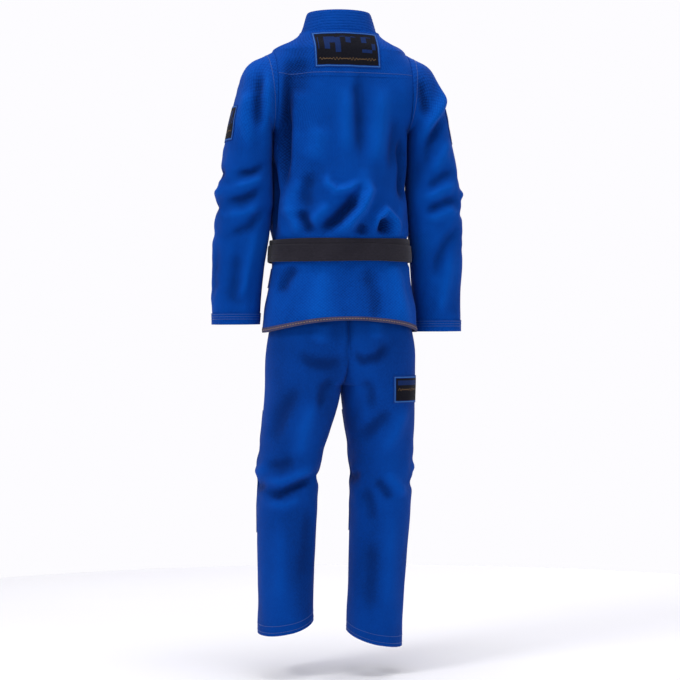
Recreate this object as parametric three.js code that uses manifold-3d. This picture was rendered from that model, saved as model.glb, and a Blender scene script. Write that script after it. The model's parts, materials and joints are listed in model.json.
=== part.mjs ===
// Martial arts uniform, worn: jacket with a standing collar and long lapels, knotted belt and trousers.
// Millimetres, +Z up, the front faces -Y, the wearer's left is +X, and the origin is the nape of the neck.
import * as THREE from 'three';
import { mergeVertices } from 'three/addons/utils/BufferGeometryUtils.js';
import Module from 'manifold-3d';

const wasm = await Module();
wasm.setup();

// ---- driving dimensions ----------------------------------------------------------------------------
const SEAM_GAP = 0.4; // space left between two sewn neighbours
const RUNNING_GAP = 1.2; // space left between pieces that turn past each other

// jacket body: heights are measured down from the nape, widths are of the space inside the cloth
const JACKET_CLOTH = 2.4; // thickness of the heavy pearl weave
const NECK_WIDTH = 188;
const NECK_DEPTH = 150;
const SHOULDER_DROP = 51; // nape to the top of the armhole
const ARMHOLE_DIAMETER = 190; // round, so that the sleeve keeps to it as it swings
const SHOULDER_WIDTH = 330; // between the two armhole seams
const CHEST_WIDTH = 316;
const CHEST_DEPTH = 236;
const BLOUSE_WIDTH = 326; // cloth pulled loose above the belt
const BLOUSE_DEPTH = 236;
const BELT_LINE_WIDTH = 314;
const BELT_LINE_DEPTH = 204;
const HEM_WIDTH = 374;
const HEM_DEPTH = 268;
const WAIST_DROP = 531;
const BLOUSE_RISE = 66; // fullest point of the blouse above the belt line
const HEM_DROP_SIDE = 736;
const HEM_DROP_BACK = 700;
const VENT_HEIGHT = 140; // side slit, up from the hem at the side
const VENT_GAP = 8;
const SIDE_SEAM_Y = -12;
const YOKE_DROP = 119;
const HEM_TAPE_HEIGHT = 12;
const GUSSET_HEIGHT = 78;
const GUSSET_WIDTH = 92;
const VENT_PATCH_SIZE = 46;

// collar and lapels
const LAPEL_WIDTH = 50;
const LAPEL_THICKNESS = 7;
const LAPEL_OVERHANG = 5; // lapel past the free edge of the front
const COLLAR_HEIGHT = 51;
const COLLAR_WALL = 1.4;
const COLLAR_LEAN = 9; // top of the collar closer to the neck than its foot
const LAPEL_CROSSING_DROP = 330;
const LAPEL_REACH_WAIST = 58; // past the centre line at the belt
const LAPEL_REACH_HEM = 62;

// sleeves
const UNDERARM_WIDTH = 104;
const UNDERARM_DEPTH = 158;
const ELBOW_WIDTH = 133;
const ELBOW_DROP = 430;
const CUFF_WIDTH = 109;
const CUFF_DEPTH = 112;
const ELBOW_DEPTH = 126;
const CUFF_SPREAD = 252; // cuff centre from the centre line
const CUFF_FORWARD = 34;
const CUFF_DROP = { left: 707, right: 726 };
const CUFF_BAND_HEIGHT = 26;
const ELBOW_BEND = 90; // degrees that the elbow cut leaves room for

// belt
const BELT_WIDTH = 42;
const BELT_THICKNESS = 4;
const BELT_WRAP_SHIFT = 14; // outer turn lower than the inner turn
const KNOT_WIDTH = 66;
const KNOT_HEIGHT = 54;
const KNOT_DEPTH = 22;
const TAIL_LENGTH = { left: 262, right: 246 };
const TAIL_SPLAY = 13; // degrees from upright
const TAIL_GAP = 3; // room for the end to swing below the knot
const RANK_BAR_LENGTH = 100;
const RANK_BAR_FROM_TIP = 24;

// trousers
const TROUSER_CLOTH = 2;
const WAISTBAND_TOP_DROP = 496;
const WAISTBAND_HEIGHT = 45;
const TROUSER_WAIST_WIDTH = 284;
const TROUSER_WAIST_DEPTH = 176;
const SEAT_WIDTH = 364;
const SEAT_DEPTH = 226;
const SEAT_DROP = 800;
const SEAT_BACK_SHIFT = 6;
const CROTCH_DROP = 856;
const THIGH_WIDTH = 176;
const THIGH_DEPTH = 206;
const KNEE_WIDTH = 146;
const KNEE_DEPTH = 168;
const KNEE_DROP = 1065;
const KNEE_FORWARD = 10;
const KNEE_SPREAD = { left: 128, right: 103 };
const TROUSER_HEM_WIDTH = 132;
const TROUSER_HEM_DEPTH = 152;
const TROUSER_HEM_DROP = { left: 1457, right: 1493 };
const TROUSER_HEM_SPREAD = { left: 139, right: 81 };
const LEG_CENTRE_TOP = 94;
const CROTCH_GUSSET = { width: 92, length: 148 };
const LEG_HEM_BAND_HEIGHT = 30;
const HIP_DROP = 815;
const HIP_CUT_RADIUS = 132;
const KNEE_BEND = 90;
const LOOP_WIDTH = 12;
const LOOP_STAND = 8.5;
const LOOP_PLACES = [-75, -32, 32, 75]; // from the centre line, across the front

// sewn patches
const PATCH_THICKNESS = 1.2;
const NECK_PATCH = { width: 160, height: 90, drop: 8 };
const SHOULDER_PATCH = { width: 84, height: 86, drop: 181 };
const THIGH_PATCH = { height: 66, drop: 834 };
const KNEE_PATCH_ABOVE = 150;
const KNEE_PATCH_BELOW = 150;

// smoothness of the faceted skin
const BODY_SIDES = 34;
const LIMB_SIDES = 16;
const FAR = 2000; // farther than any face

// ---- materials -------------------------------------------------------------------------------------
const cloth = (color, roughness) => new THREE.MeshStandardMaterial({ color, roughness, metalness: 0 });
const pearlWeave = cloth(0x0a4aa8, 0.75);
const trouserTwill = cloth(0x084394, 0.8);
const lapelDrill = cloth(0x0b4da6, 0.75);
const beltCotton = cloth(0x24232a, 0.8);
const rankBarCotton = cloth(0x9c1c22, 0.8);
const patchTwill = cloth(0x10182c, 0.85);
const seamTape = cloth(0x3a3f66, 0.85);
const collarFoam = cloth(0xd9d6cc, 0.9);

// ---- solids ----------------------------------------------------------------------------------------
/** A closed solid from its points and triangles, turned so that its faces point out. */
function solidFrom(vertProperties, triVerts) {
  let volume = 0;
  const corner = (k) => new THREE.Vector3().fromArray(vertProperties, 3 * triVerts[k]);
  for (let t = 0; t < triVerts.length; t += 3) {
    volume += corner(t).dot(corner(t + 1).cross(corner(t + 2)));
  }
  if (volume < 0) {
    for (let t = 0; t < triVerts.length; t += 3) {
      [triVerts[t + 1], triVerts[t + 2]] = [triVerts[t + 2], triVerts[t + 1]];
    }
  }
  return new wasm.Manifold(new wasm.Mesh({ numProp: 3, vertProperties, triVerts }));
}

/** The solid of a closed three.js geometry. */
function solidOf(geometry) {
  const bare = geometry.clone();
  bare.deleteAttribute('normal');
  bare.deleteAttribute('uv');
  const merged = mergeVertices(bare);
  return solidFrom(Float32Array.from(merged.attributes.position.array), Uint32Array.from(merged.index.array));
}

/** A solid skinned over rings of equal length, its two ends closed by fans. */
function loft(rings) {
  const sides = rings[0].length;
  const centre = (ring) => ring.reduce((sum, p) => sum.add(p), new THREE.Vector3()).divideScalar(sides);
  const points = [...rings.flat(), centre(rings[0]), centre(rings.at(-1))];
  const triangles = [];
  for (let j = 0; j < sides; j += 1) {
    const next = (j + 1) % sides;
    for (let i = 0; i + 1 < rings.length; i += 1) {
      const [a, b] = [i * sides + j, i * sides + next];
      triangles.push(a, b, b + sides, a, b + sides, a + sides);
    }
    const last = (rings.length - 1) * sides;
    triangles.push(points.length - 2, next, j, points.length - 1, last + j, last + next);
  }
  return solidFrom(Float32Array.from(points.flatMap((p) => p.toArray())), Uint32Array.from(triangles));
}

const block = (x0, x1, y0, y1, z0, z1) =>
  solidOf(new THREE.BoxGeometry(x1 - x0, y1 - y0, z1 - z0)
    .translate((x0 + x1) / 2, (y0 + y1) / 2, (z0 + z1) / 2));

/** A front-view outline of [x, z] points, extruded from y0 to y1. */
function frontPrism(outline, y0, y1) {
  const shape = new THREE.Shape(outline.map(([x, z]) => new THREE.Vector2(x, z)));
  const body = new THREE.ExtrudeGeometry(shape, { depth: y1 - y0, bevelEnabled: false });
  return solidOf(body.rotateX(Math.PI / 2).translate(0, y1, 0));
}

/** A round bar along X, centred on y, z. */
const crossBar = (radius, y, z) =>
  solidOf(new THREE.CylinderGeometry(radius, radius, FAR, 40).rotateZ(Math.PI / 2).translate(0, y, z));

const above = (z) => block(-FAR, FAR, -FAR, FAR, z, FAR);
const below = (z) => block(-FAR, FAR, -FAR, FAR, -FAR, z);
const behind = (y) => block(-FAR, FAR, y, FAR, -FAR, FAR);
const before = (y) => block(-FAR, FAR, -FAR, y, -FAR, FAR);
const leftOf = (x) => block(x, FAR, -FAR, FAR, -FAR, FAR);
const rightOf = (x) => block(-FAR, x, -FAR, FAR, -FAR, FAR);

/** A smooth value at z through [z, value] stations, listed from the top down. */
function along(stations, z) {
  const last = stations.length - 1;
  if (z >= stations[0][0]) return stations[0][1];
  if (z <= stations[last][0]) return stations[last][1];
  const i = stations.findIndex((station) => station[0] <= z) - 1;
  const slope = (k) => {
    const [a, b] = [stations[Math.max(k - 1, 0)], stations[Math.min(k + 1, last)]];
    return k === 0 || k === last ? 0 : (b[1] - a[1]) / (b[0] - a[0]);
  };
  const span = stations[i + 1][0] - stations[i][0];
  const t = (z - stations[i][0]) / span;
  const [t2, t3] = [t * t, t * t * t];
  return stations[i][1] * (2 * t3 - 3 * t2 + 1) + slope(i) * span * (t3 - 2 * t2 + t)
    + stations[i + 1][1] * (3 * t2 - 2 * t3) + slope(i + 1) * span * (t3 - t2);
}

/** A rounded-rectangle ring at height z; proud(x, y, z) sets the point out from the base line. */
function bodyRing(halfWidth, halfDepth, centreY, z, squareness, proud, sides) {
  return Array.from({ length: sides }, (_, k) => {
    const turn = (2 * Math.PI * (k + 0.5)) / sides;
    const [c, s] = [Math.cos(turn), Math.sin(turn)];
    const x = Math.sign(c) * Math.abs(c) ** (2 / squareness);
    const y = Math.sign(s) * Math.abs(s) ** (2 / squareness);
    const out = proud(x * halfWidth, y, z);
    return new THREE.Vector3(x * (halfWidth + out), centreY + y * (halfDepth + out), z);
  });
}

const steps = (from, to, count) =>
  Array.from({ length: count + 1 }, (_, k) => from + ((to - from) * k) / count);

// ---- jacket body -----------------------------------------------------------------------------------
const shoulderZ = -SHOULDER_DROP;
const armholeZ = -(SHOULDER_DROP + ARMHOLE_DIAMETER / 2);
const armpitZ = -(SHOULDER_DROP + ARMHOLE_DIAMETER);
const beltZ = -WAIST_DROP;
const blouseZ = beltZ + BLOUSE_RISE;
const hemZ = -HEM_DROP_SIDE;
const armholeX = SHOULDER_WIDTH / 2;

const bodyHalfWidth = [
  [0, NECK_WIDTH / 2], [shoulderZ, CHEST_WIDTH / 2], [armpitZ - 130, CHEST_WIDTH / 2],
  [blouseZ, BLOUSE_WIDTH / 2], [beltZ, BELT_LINE_WIDTH / 2], [hemZ, HEM_WIDTH / 2],
];
const bodyHalfDepth = [
  [0, NECK_DEPTH / 2], [shoulderZ, CHEST_DEPTH / 2 - 14],
  [armholeZ, CHEST_DEPTH / 2], [armpitZ, CHEST_DEPTH / 2],
  [blouseZ, BLOUSE_DEPTH / 2], [beltZ, BELT_LINE_DEPTH / 2], [hemZ, HEM_DEPTH / 2],
];
const bodyCentreY = [[0, 8], [armholeZ, 6], [armpitZ, 2], [beltZ, 0], [hemZ, 2]];

/** The solid inside the jacket's surface set out by proud, with the armhole stubs joined on. */
function torso(proud, topZ, bottomZ, stubX) {
  const out = typeof proud === 'number' ? () => proud : proud;
  const levels = [topZ, 0, shoulderZ, ...steps(armholeZ, blouseZ, 5), ...steps(beltZ + 24, hemZ, 4)];
  const rings = [...new Set([...levels, bottomZ])].sort((a, b) => b - a).map((z) =>
    bodyRing(along(bodyHalfWidth, z), along(bodyHalfDepth, z), along(bodyCentreY, z), z,
      z > shoulderZ ? 2.2 : 2.5, out, BODY_SIDES));
  let body = loft(rings);
  for (const side of [1, -1]) {
    const stub = [0, side * stubX].map((x) => armholeRing(out(side * armholeX, 0, armholeZ), x));
    body = body.add(loft(stub));
  }
  return body;
}

/** The armhole's oval, in the upright plane at x. */
function armholeRing(out, x) {
  return Array.from({ length: LIMB_SIDES }, (_, k) => {
    const turn = (2 * Math.PI * (k + 0.5)) / LIMB_SIDES;
    return new THREE.Vector3(x, (ARMHOLE_DIAMETER / 2 + out) * Math.cos(turn),
      armholeZ + (ARMHOLE_DIAMETER / 2 + out) * Math.sin(turn));
  });
}

/** A layer of cloth between two set-outs of the body, open at the neck, the hem and the armholes. */
function bodyLayer(inner, outer) {
  const innerBody = torso(inner, 30, hemZ - 30, armholeX + 20);
  return torso(outer, 0, hemZ, armholeX).subtract(innerBody);
}

/** 0 on the sides and above the crossing, 1 across the front where the two fronts lie on each other. */
const overlapShare = (x, y, z) => (y < 0
  ? (1 - THREE.MathUtils.smoothstep(Math.abs(x), 116, 144))
    * (1 - THREE.MathUtils.smoothstep(z, -LAPEL_CROSSING_DROP * 0.56, -LAPEL_CROSSING_DROP * 0.36))
  : 0);

const rightLapelInner = JACKET_CLOTH + SEAM_GAP;
const leftFrontInner = rightLapelInner + LAPEL_THICKNESS + SEAM_GAP;
const leftLapelInner = leftFrontInner + JACKET_CLOTH + SEAM_GAP;
const beltInner = leftLapelInner + LAPEL_THICKNESS + SEAM_GAP;

const lapelX = [
  [0, NECK_WIDTH / 2 - 4], [-LAPEL_CROSSING_DROP, 0], [beltZ, -LAPEL_REACH_WAIST], [hemZ, -LAPEL_REACH_HEM],
];

/** The front-view outline between two set-offs from the left lapel's centre line; far reaches the side. */
function lapelStrip(side, from, to, topZ = 30, bottomZ = hemZ - 20) {
  const levels = steps(topZ, bottomZ, 10);
  const edge = (offset) => levels.map((z) => [side * (along(lapelX, z) + offset), z]);
  return [...edge(from), ...edge(to).reverse()];
}

const hemCurve = HEM_DROP_SIDE - HEM_DROP_BACK;
/** The hem's front-view outline, an arch that is higher in the middle; raised by lift, closed below. */
function hemOutline(lift) {
  const half = HEM_WIDTH / 2 + 30;
  const rise = (x) => hemCurve * Math.max(0, 1 - (x / half) ** 2);
  const arch = steps(-half, half, 10).map((x) => [x, hemZ + lift + rise(x)]);
  return [...arch, [half, -FAR], [-half, -FAR]];
}
const belowHem = (lift) => frontPrism(hemOutline(lift), -FAR, FAR);

const sideGusset = (grow) => block(-FAR, FAR, -GUSSET_WIDTH / 2 - grow, GUSSET_WIDTH / 2 + grow,
  armpitZ - GUSSET_HEIGHT - grow, armpitZ - 2 + grow);
const sideVent = block(-FAR, FAR, SIDE_SEAM_Y - VENT_GAP / 2, SIDE_SEAM_Y + VENT_GAP / 2,
  -FAR, hemZ + VENT_HEIGHT);

const singleLayer = bodyLayer(0, JACKET_CLOTH);
const skirtCut = belowHem(HEM_TAPE_HEIGHT + SEAM_GAP);
const tapeBand = belowHem(HEM_TAPE_HEIGHT).subtract(belowHem(0));
const backHalf = singleLayer.intersect(behind(SIDE_SEAM_Y + SEAM_GAP)).subtract(sideVent);

const backBelowYoke = backHalf.intersect(below(-YOKE_DROP - SEAM_GAP)).subtract(sideGusset(SEAM_GAP));
const backPanel = backBelowYoke.subtract(skirtCut);
const backHemTape = backBelowYoke.intersect(tapeBand);
const shoulderYoke = backHalf.intersect(above(-YOKE_DROP));

/** One front: its layer, cut at the side seam and along its own lapel. side is the half it is sewn to. */
function front(layer, side) {
  const reach = frontPrism(lapelStrip(side, -LAPEL_WIDTH / 2 + LAPEL_OVERHANG, FAR), -FAR, SIDE_SEAM_Y);
  return layer.intersect(reach).subtract(sideVent).subtract(sideGusset(SEAM_GAP));
}

const rightFront = front(singleLayer, -1);
const raisedLayer = bodyLayer((...at) => leftFrontInner * overlapShare(...at),
  (...at) => JACKET_CLOTH + leftFrontInner * overlapShare(...at));
const leftFront = front(raisedLayer, 1);

const gussetRegion = sideGusset(0);
const gussetBand = singleLayer.intersect(gussetRegion);

/** A patch over the top of the side slit, set on the outside of the cloth. */
function ventPatch(side) {
  const top = hemZ + VENT_HEIGHT + VENT_PATCH_SIZE / 2;
  const skin = bodyLayer(JACKET_CLOTH + SEAM_GAP, JACKET_CLOTH + SEAM_GAP + PATCH_THICKNESS);
  return skin.intersect(block(...(side > 0 ? [0, FAR] : [-FAR, 0]), SIDE_SEAM_Y - VENT_PATCH_SIZE / 2,
    SIDE_SEAM_Y + VENT_PATCH_SIZE / 2, top - VENT_PATCH_SIZE, top));
}

// ---- collar and lapels -----------------------------------------------------------------------------
/** The standing collar's wall set out from the neck line, between two heights. */
function collarRing(out, fromZ, toZ) {
  const rings = [fromZ, toZ].map((z) => {
    const lean = COLLAR_LEAN * (z / COLLAR_HEIGHT);
    return bodyRing(NECK_WIDTH / 2 - 2 - lean, NECK_DEPTH / 2 - 2 - lean * 0.5, 8 - lean * 0.4, z, 2.2,
      () => out, BODY_SIDES);
  });
  return loft(rings);
}

const collarFootZ = SEAM_GAP;
const collarOuter = LAPEL_THICKNESS;
const collarSpan = behind(-NECK_DEPTH / 2 + 30);
const collarChannel = collarRing(collarOuter - COLLAR_WALL, collarFootZ - 1, COLLAR_HEIGHT - COLLAR_WALL)
  .subtract(collarRing(COLLAR_WALL, collarFootZ - 2, COLLAR_HEIGHT))
  .intersect(behind(0));
const collarCoreTop = COLLAR_HEIGHT - COLLAR_WALL - SEAM_GAP;
const collarCore = collarRing(collarOuter - COLLAR_WALL - SEAM_GAP, collarFootZ, collarCoreTop)
  .subtract(collarRing(COLLAR_WALL + SEAM_GAP, collarFootZ - 2, COLLAR_HEIGHT))
  .intersect(behind(SEAM_GAP));
const standingCollar = collarRing(collarOuter, collarFootZ, COLLAR_HEIGHT)
  .subtract(collarRing(0, collarFootZ - 5, COLLAR_HEIGHT + 5))
  .subtract(collarChannel)
  .intersect(collarSpan);

/** One lapel, lying on its front from the collar down to the hem. */
function lapel(side, inner) {
  const out = (...at) => rightLapelInner + (inner - rightLapelInner) * overlapShare(...at);
  const layer = torso((...at) => out(...at) + LAPEL_THICKNESS, 14, hemZ, armholeX)
    .subtract(torso(out, 30, hemZ - 30, armholeX + 20));
  const strip = frontPrism(lapelStrip(side, -LAPEL_WIDTH / 2, LAPEL_WIDTH / 2), -FAR, -16);
  return layer.intersect(strip).subtract(belowHem(0));
}

const collarBand = standingCollar.add(lapel(1, leftLapelInner)).add(lapel(-1, rightLapelInner));

// ---- sleeves ---------------------------------------------------------------------------------------
/** The sleeve's sections from the armhole to the cuff: inner and outer edge, half depth and centre y. */
function sleeveSections(name) {
  const startX = armholeX + SEAM_GAP;
  const underX = startX + 4.6;
  const cuffZ = -CUFF_DROP[name];
  const fanSections = [[20, 0.87, 1.5], [40, 0.67, 4], [60, 0.57, 10], [80, 0.55, 22]];
  const fan = fanSections.map(([angle, reach, drop]) => {
    const lean = THREE.MathUtils.degToRad(angle);
    const length = ARMHOLE_DIAMETER * reach;
    const inner = [underX - 1, armpitZ - drop];
    return { inner, outer: [inner[0] + length * Math.sin(lean), inner[1] + length * Math.cos(lean)] };
  });
  const elbowZ = -ELBOW_DROP;
  const forearmWidth = (ELBOW_WIDTH + CUFF_WIDTH) / 2;
  const straight = [
    [armpitZ - 80, underX, UNDERARM_WIDTH + 14],
    [elbowZ, underX, ELBOW_WIDTH - 2],
    [elbowZ - 50, underX + 5, ELBOW_WIDTH - 4],
    [(elbowZ + cuffZ) / 2, CUFF_SPREAD - 5 - forearmWidth / 2, forearmWidth],
    [cuffZ, CUFF_SPREAD - CUFF_WIDTH / 2, CUFF_WIDTH],
  ].map(([z, inner, width]) => ({ inner: [inner, z], outer: [inner + width, z] }));
  const armhole = { inner: [startX, armpitZ], outer: [startX, shoulderZ] };
  const halfDepth = [
    [armholeZ, ARMHOLE_DIAMETER / 2],
    [armpitZ, UNDERARM_DEPTH / 2],
    [elbowZ, ELBOW_DEPTH / 2],
    [cuffZ, CUFF_DEPTH / 2],
  ];
  const centreY = [[armpitZ, 0], [elbowZ, 4], [cuffZ, -CUFF_FORWARD]];
  return [armhole, ...fan, ...straight].map((section) => {
    const midZ = (section.inner[1] + section.outer[1]) / 2;
    return { ...section, halfDepth: along(halfDepth, midZ), y: along(centreY, midZ) };
  });
}

/** The solid inside the sleeve's surface set out by out; the ends run on by past. */
function sleeveSolid(side, name, out, past) {
  const rings = sleeveSections(name).map(({ inner, outer, halfDepth, y }) => {
    const [dx, dz] = [outer[0] - inner[0], outer[1] - inner[1]];
    const half = Math.hypot(dx, dz) / 2;
    return Array.from({ length: LIMB_SIDES }, (_, k) => {
      const turn = (2 * Math.PI * (k + 0.5)) / LIMB_SIDES;
      const reach = ((half + out) * Math.sin(turn)) / (2 * half);
      return new THREE.Vector3(side * ((inner[0] + outer[0]) / 2 + dx * reach),
        y + (halfDepth + out) * Math.cos(turn), (inner[1] + outer[1]) / 2 + dz * reach);
    });
  });
  const shift = (ring, x, z) => ring.map((p) => new THREE.Vector3(p.x + x, p.y, p.z + z));
  if (past) {
    rings.unshift(shift(rings[0], -side * past, 0));
    rings.push(shift(rings.at(-1), 0, -past));
  }
  return loft(rings);
}

const sleeveLayer = (side, name, inner, outer) =>
  sleeveSolid(side, name, outer, 0).subtract(sleeveSolid(side, name, inner, 20));

/** Splits a limb's cloth at a hinge along X: the upper keeps what lies within the radius of the hinge. */
function splitAtHinge(layer, radius, y, z) {
  const within = crossBar(radius - RUNNING_GAP / 2, y, z);
  return {
    upper: layer.intersect(above(z).add(within)),
    lower: layer.intersect(below(z)).subtract(crossBar(radius + RUNNING_GAP / 2, y, z)),
  };
}

const hingeRadius = (halfDepth, bend) =>
  (halfDepth + RUNNING_GAP) / Math.cos(THREE.MathUtils.degToRad(bend / 2));
const elbowRadius = hingeRadius(ELBOW_DEPTH / 2 + JACKET_CLOTH, ELBOW_BEND);

function sleeve(side, name) {
  const elbowZ = -ELBOW_DROP;
  const layer = sleeveLayer(side, name, 0, JACKET_CLOTH);
  const { upper, lower } = splitAtHinge(layer, elbowRadius, 4, elbowZ);
  const bandTop = -CUFF_DROP[name] + CUFF_BAND_HEIGHT;
  const band = sleeveSolid(side, name, -SEAM_GAP, 0)
    .subtract(sleeveSolid(side, name, -SEAM_GAP - PATCH_THICKNESS, 20))
    .intersect(below(bandTop));
  const patchZ = -SHOULDER_PATCH.drop;
  const patch = sleeveLayer(side, name, JACKET_CLOTH + SEAM_GAP, JACKET_CLOTH + SEAM_GAP + PATCH_THICKNESS)
    .intersect(block(...(side > 0 ? [armholeX + 50, FAR] : [-FAR, -armholeX - 50]), -SHOULDER_PATCH.width / 2,
      SHOULDER_PATCH.width / 2, patchZ - SHOULDER_PATCH.height, patchZ));
  return { upper, lower, band, patch };
}

// ---- belt ------------------------------------------------------------------------------------------
const frontStep = beltInner - JACKET_CLOTH - SEAM_GAP;
const BELT_FLARE = 7; // the blouse and the skirt both swell away from the belt line

/** One turn of the belt, centred on z, set out from the jacket by inner at the back and sides. */
function beltTurn(inner, z) {
  const ring = (extra, level) => bodyRing(BELT_LINE_WIDTH / 2, BELT_LINE_DEPTH / 2, 0, level, 2.5,
    (...at) => extra + frontStep * overlapShare(...at), BODY_SIDES);
  const wall = (out, half) => loft([ring(out + BELT_FLARE, z - half), ring(out + BELT_FLARE, z + half)]);
  return wall(inner + BELT_THICKNESS, BELT_WIDTH / 2).subtract(wall(inner, BELT_WIDTH));
}

const innerTurnOut = JACKET_CLOTH + SEAM_GAP;
const outerTurnOut = innerTurnOut + BELT_THICKNESS + SEAM_GAP;
const innerTurnZ = beltZ + BELT_WRAP_SHIFT / 2;
const outerTurnZ = beltZ - BELT_WRAP_SHIFT / 2;
const knotBackY = -(BELT_LINE_DEPTH / 2 + BELT_FLARE + outerTurnOut + frontStep + BELT_THICKNESS + SEAM_GAP);

/** The square knot: a plump cushion with chamfered rims. */
function beltKnot() {
  const round = 14;
  const [w, h] = [KNOT_WIDTH / 2 - round, KNOT_HEIGHT / 2 - round];
  const face = new THREE.Shape();
  [[w, h, 0], [-w, h, 90], [-w, -h, 180], [w, -h, 270]].forEach(([x, z, start]) => {
    const from = THREE.MathUtils.degToRad(start);
    face.absarc(x, z, round, from, from + Math.PI / 2);
  });
  const bevel = 5;
  const settings = {
    depth: KNOT_DEPTH - 2 * bevel, bevelThickness: bevel, bevelSize: bevel, bevelOffset: -bevel,
    bevelSegments: 2, curveSegments: 4,
  };
  const body = new THREE.ExtrudeGeometry(face, settings).rotateX(Math.PI / 2);
  return solidOf(body.translate(0, knotBackY - bevel, beltZ));
}

/** A hanging end: a flat strap in its own frame, top edge at the origin, turned and set below the knot. */
function tail(side, name) {
  const length = TAIL_LENGTH[name];
  const topZ = beltZ - KNOT_HEIGHT / 2 - TAIL_GAP - BELT_WIDTH * 0.12;
  const topY = knotBackY - 3;
  const skirtFrontY = -(HEM_DEPTH / 2 + leftLapelInner + LAPEL_THICKNESS + BELT_THICKNESS + 3);
  const drop = topZ - hemZ;
  const place = new THREE.Matrix4().makeTranslation(side * KNOT_WIDTH * 0.42, topY, topZ)
    .multiply(new THREE.Matrix4().makeRotationX(-Math.atan2(topY - skirtFrontY, drop)))
    .multiply(new THREE.Matrix4().makeRotationY(-side * THREE.MathUtils.degToRad(TAIL_SPLAY)));
  const strap = (grow, from, to) => {
    const box = new THREE.BoxGeometry(BELT_WIDTH + 2 * grow, BELT_THICKNESS + 2 * grow, to - from);
    return solidOf(box.translate(0, 0, -(from + to) / 2).applyMatrix4(place));
  };
  const barFrom = length - RANK_BAR_FROM_TIP - RANK_BAR_LENGTH;
  const barTo = length - RANK_BAR_FROM_TIP;
  return {
    strap: strap(0, 0, length),
    bar: strap(SEAM_GAP + PATCH_THICKNESS, barFrom, barTo).subtract(strap(SEAM_GAP, barFrom - 5, barTo + 5)),
  };
}

// ---- trousers --------------------------------------------------------------------------------------
const trouserTopZ = -WAISTBAND_TOP_DROP;
const waistbandFootZ = trouserTopZ - WAISTBAND_HEIGHT;
const seatZ = -SEAT_DROP;
const crotchZ = -CROTCH_DROP;
const kneeZ = -KNEE_DROP;
const hipZ = -HIP_DROP;

/** The seat's solid from the waist to the crotch, set out by out. */
function seatSolid(out, topZ, bottomZ) {
  const halfWidth = [[waistbandFootZ, TROUSER_WAIST_WIDTH / 2], [seatZ, SEAT_WIDTH / 2]];
  const halfDepth = [[waistbandFootZ, TROUSER_WAIST_DEPTH / 2], [seatZ, SEAT_DEPTH / 2]];
  const centreY = [[waistbandFootZ, 0], [seatZ, SEAT_BACK_SHIFT]];
  const levels = [topZ, trouserTopZ, waistbandFootZ, ...steps(waistbandFootZ - 50, seatZ, 3), bottomZ];
  return loft([...new Set(levels)].map((z) =>
    bodyRing(along(halfWidth, z), along(halfDepth, z), along(centreY, z), z, 2.4, () => out, BODY_SIDES)));
}

/** One leg's solid, from inside the seat down to its hem, set out by out. */
function legSolid(side, name, out, bottomZ) {
  const endZ = -TROUSER_HEM_DROP[name];
  const halfWidth = [[crotchZ, THIGH_WIDTH / 2], [kneeZ, KNEE_WIDTH / 2], [endZ, TROUSER_HEM_WIDTH / 2]];
  const halfDepth = [
    [seatZ, SEAT_DEPTH / 2], [crotchZ - 40, THIGH_DEPTH / 2],
    [kneeZ, KNEE_DEPTH / 2], [endZ, TROUSER_HEM_DEPTH / 2],
  ];
  const centreX = [[crotchZ, LEG_CENTRE_TOP], [kneeZ, KNEE_SPREAD[name]], [endZ, TROUSER_HEM_SPREAD[name]]];
  const calfZ = kneeZ * 0.45 + endZ * 0.55;
  const centreY = [[seatZ, SEAT_BACK_SHIFT], [kneeZ, -KNEE_FORWARD], [calfZ, 4], [endZ, 0]];
  const thighLevels = [seatZ - 6, crotchZ, ...steps(crotchZ - 60, kneeZ, 2)];
  const levels = [...thighLevels, ...steps(kneeZ - 130, endZ, 2), bottomZ];
  const rings = [...new Set(levels)].map((z) =>
    bodyRing(along(halfWidth, z), along(halfDepth, z), along(centreY, z), z, 2.2, () => out, LIMB_SIDES)
      .map((p) => p.setX(side * (p.x + along(centreX, z)))));
  return loft(rings);
}

/** A layer of cloth between two set-outs of the trousers, open at the waist and at both hems. */
function trouserLayer(inner, outer) {
  const outside = seatSolid(outer, trouserTopZ, crotchZ - outer)
    .add(legSolid(1, 'left', outer, -TROUSER_HEM_DROP.left))
    .add(legSolid(-1, 'right', outer, -TROUSER_HEM_DROP.right));
  const inside = seatSolid(inner, trouserTopZ + 30, crotchZ - inner)
    .add(legSolid(1, 'left', inner, -FAR))
    .add(legSolid(-1, 'right', inner, -FAR));
  return outside.subtract(inside);
}

const trouserCloth = trouserLayer(0, TROUSER_CLOTH);
const waistband = trouserCloth.intersect(above(waistbandFootZ));
const belowWaistband = trouserCloth.intersect(below(waistbandFootZ - SEAM_GAP));
const hipSplit = splitAtHinge(belowWaistband, HIP_CUT_RADIUS, 0, hipZ);
/** The crotch gusset's diamond, seen from below. */
const gussetDiamond = (grow) => {
  const share = 1 + grow / (CROTCH_GUSSET.width / 2);
  const [halfWidth, halfLength] = [(CROTCH_GUSSET.width / 2) * share, (CROTCH_GUSSET.length / 2) * share];
  const corners = [[halfWidth, 0], [0, halfLength], [-halfWidth, 0], [0, -halfLength]];
  const shape = new THREE.Shape(corners.map(([x, y]) => new THREE.Vector2(x, y + SEAT_BACK_SHIFT)));
  const prism = new THREE.ExtrudeGeometry(shape, { depth: 90, bevelEnabled: false });
  return solidOf(prism.translate(0, 0, crotchZ - 50));
};
const seat = hipSplit.upper.subtract(gussetDiamond(SEAM_GAP));
const crotchGusset = hipSplit.upper.intersect(gussetDiamond(0));
const trouserSkin = trouserLayer(TROUSER_CLOTH + SEAM_GAP, TROUSER_CLOTH + SEAM_GAP + PATCH_THICKNESS);
const kneeRadius = hingeRadius(KNEE_DEPTH / 2 + TROUSER_CLOTH + PATCH_THICKNESS + SEAM_GAP, KNEE_BEND);

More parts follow.
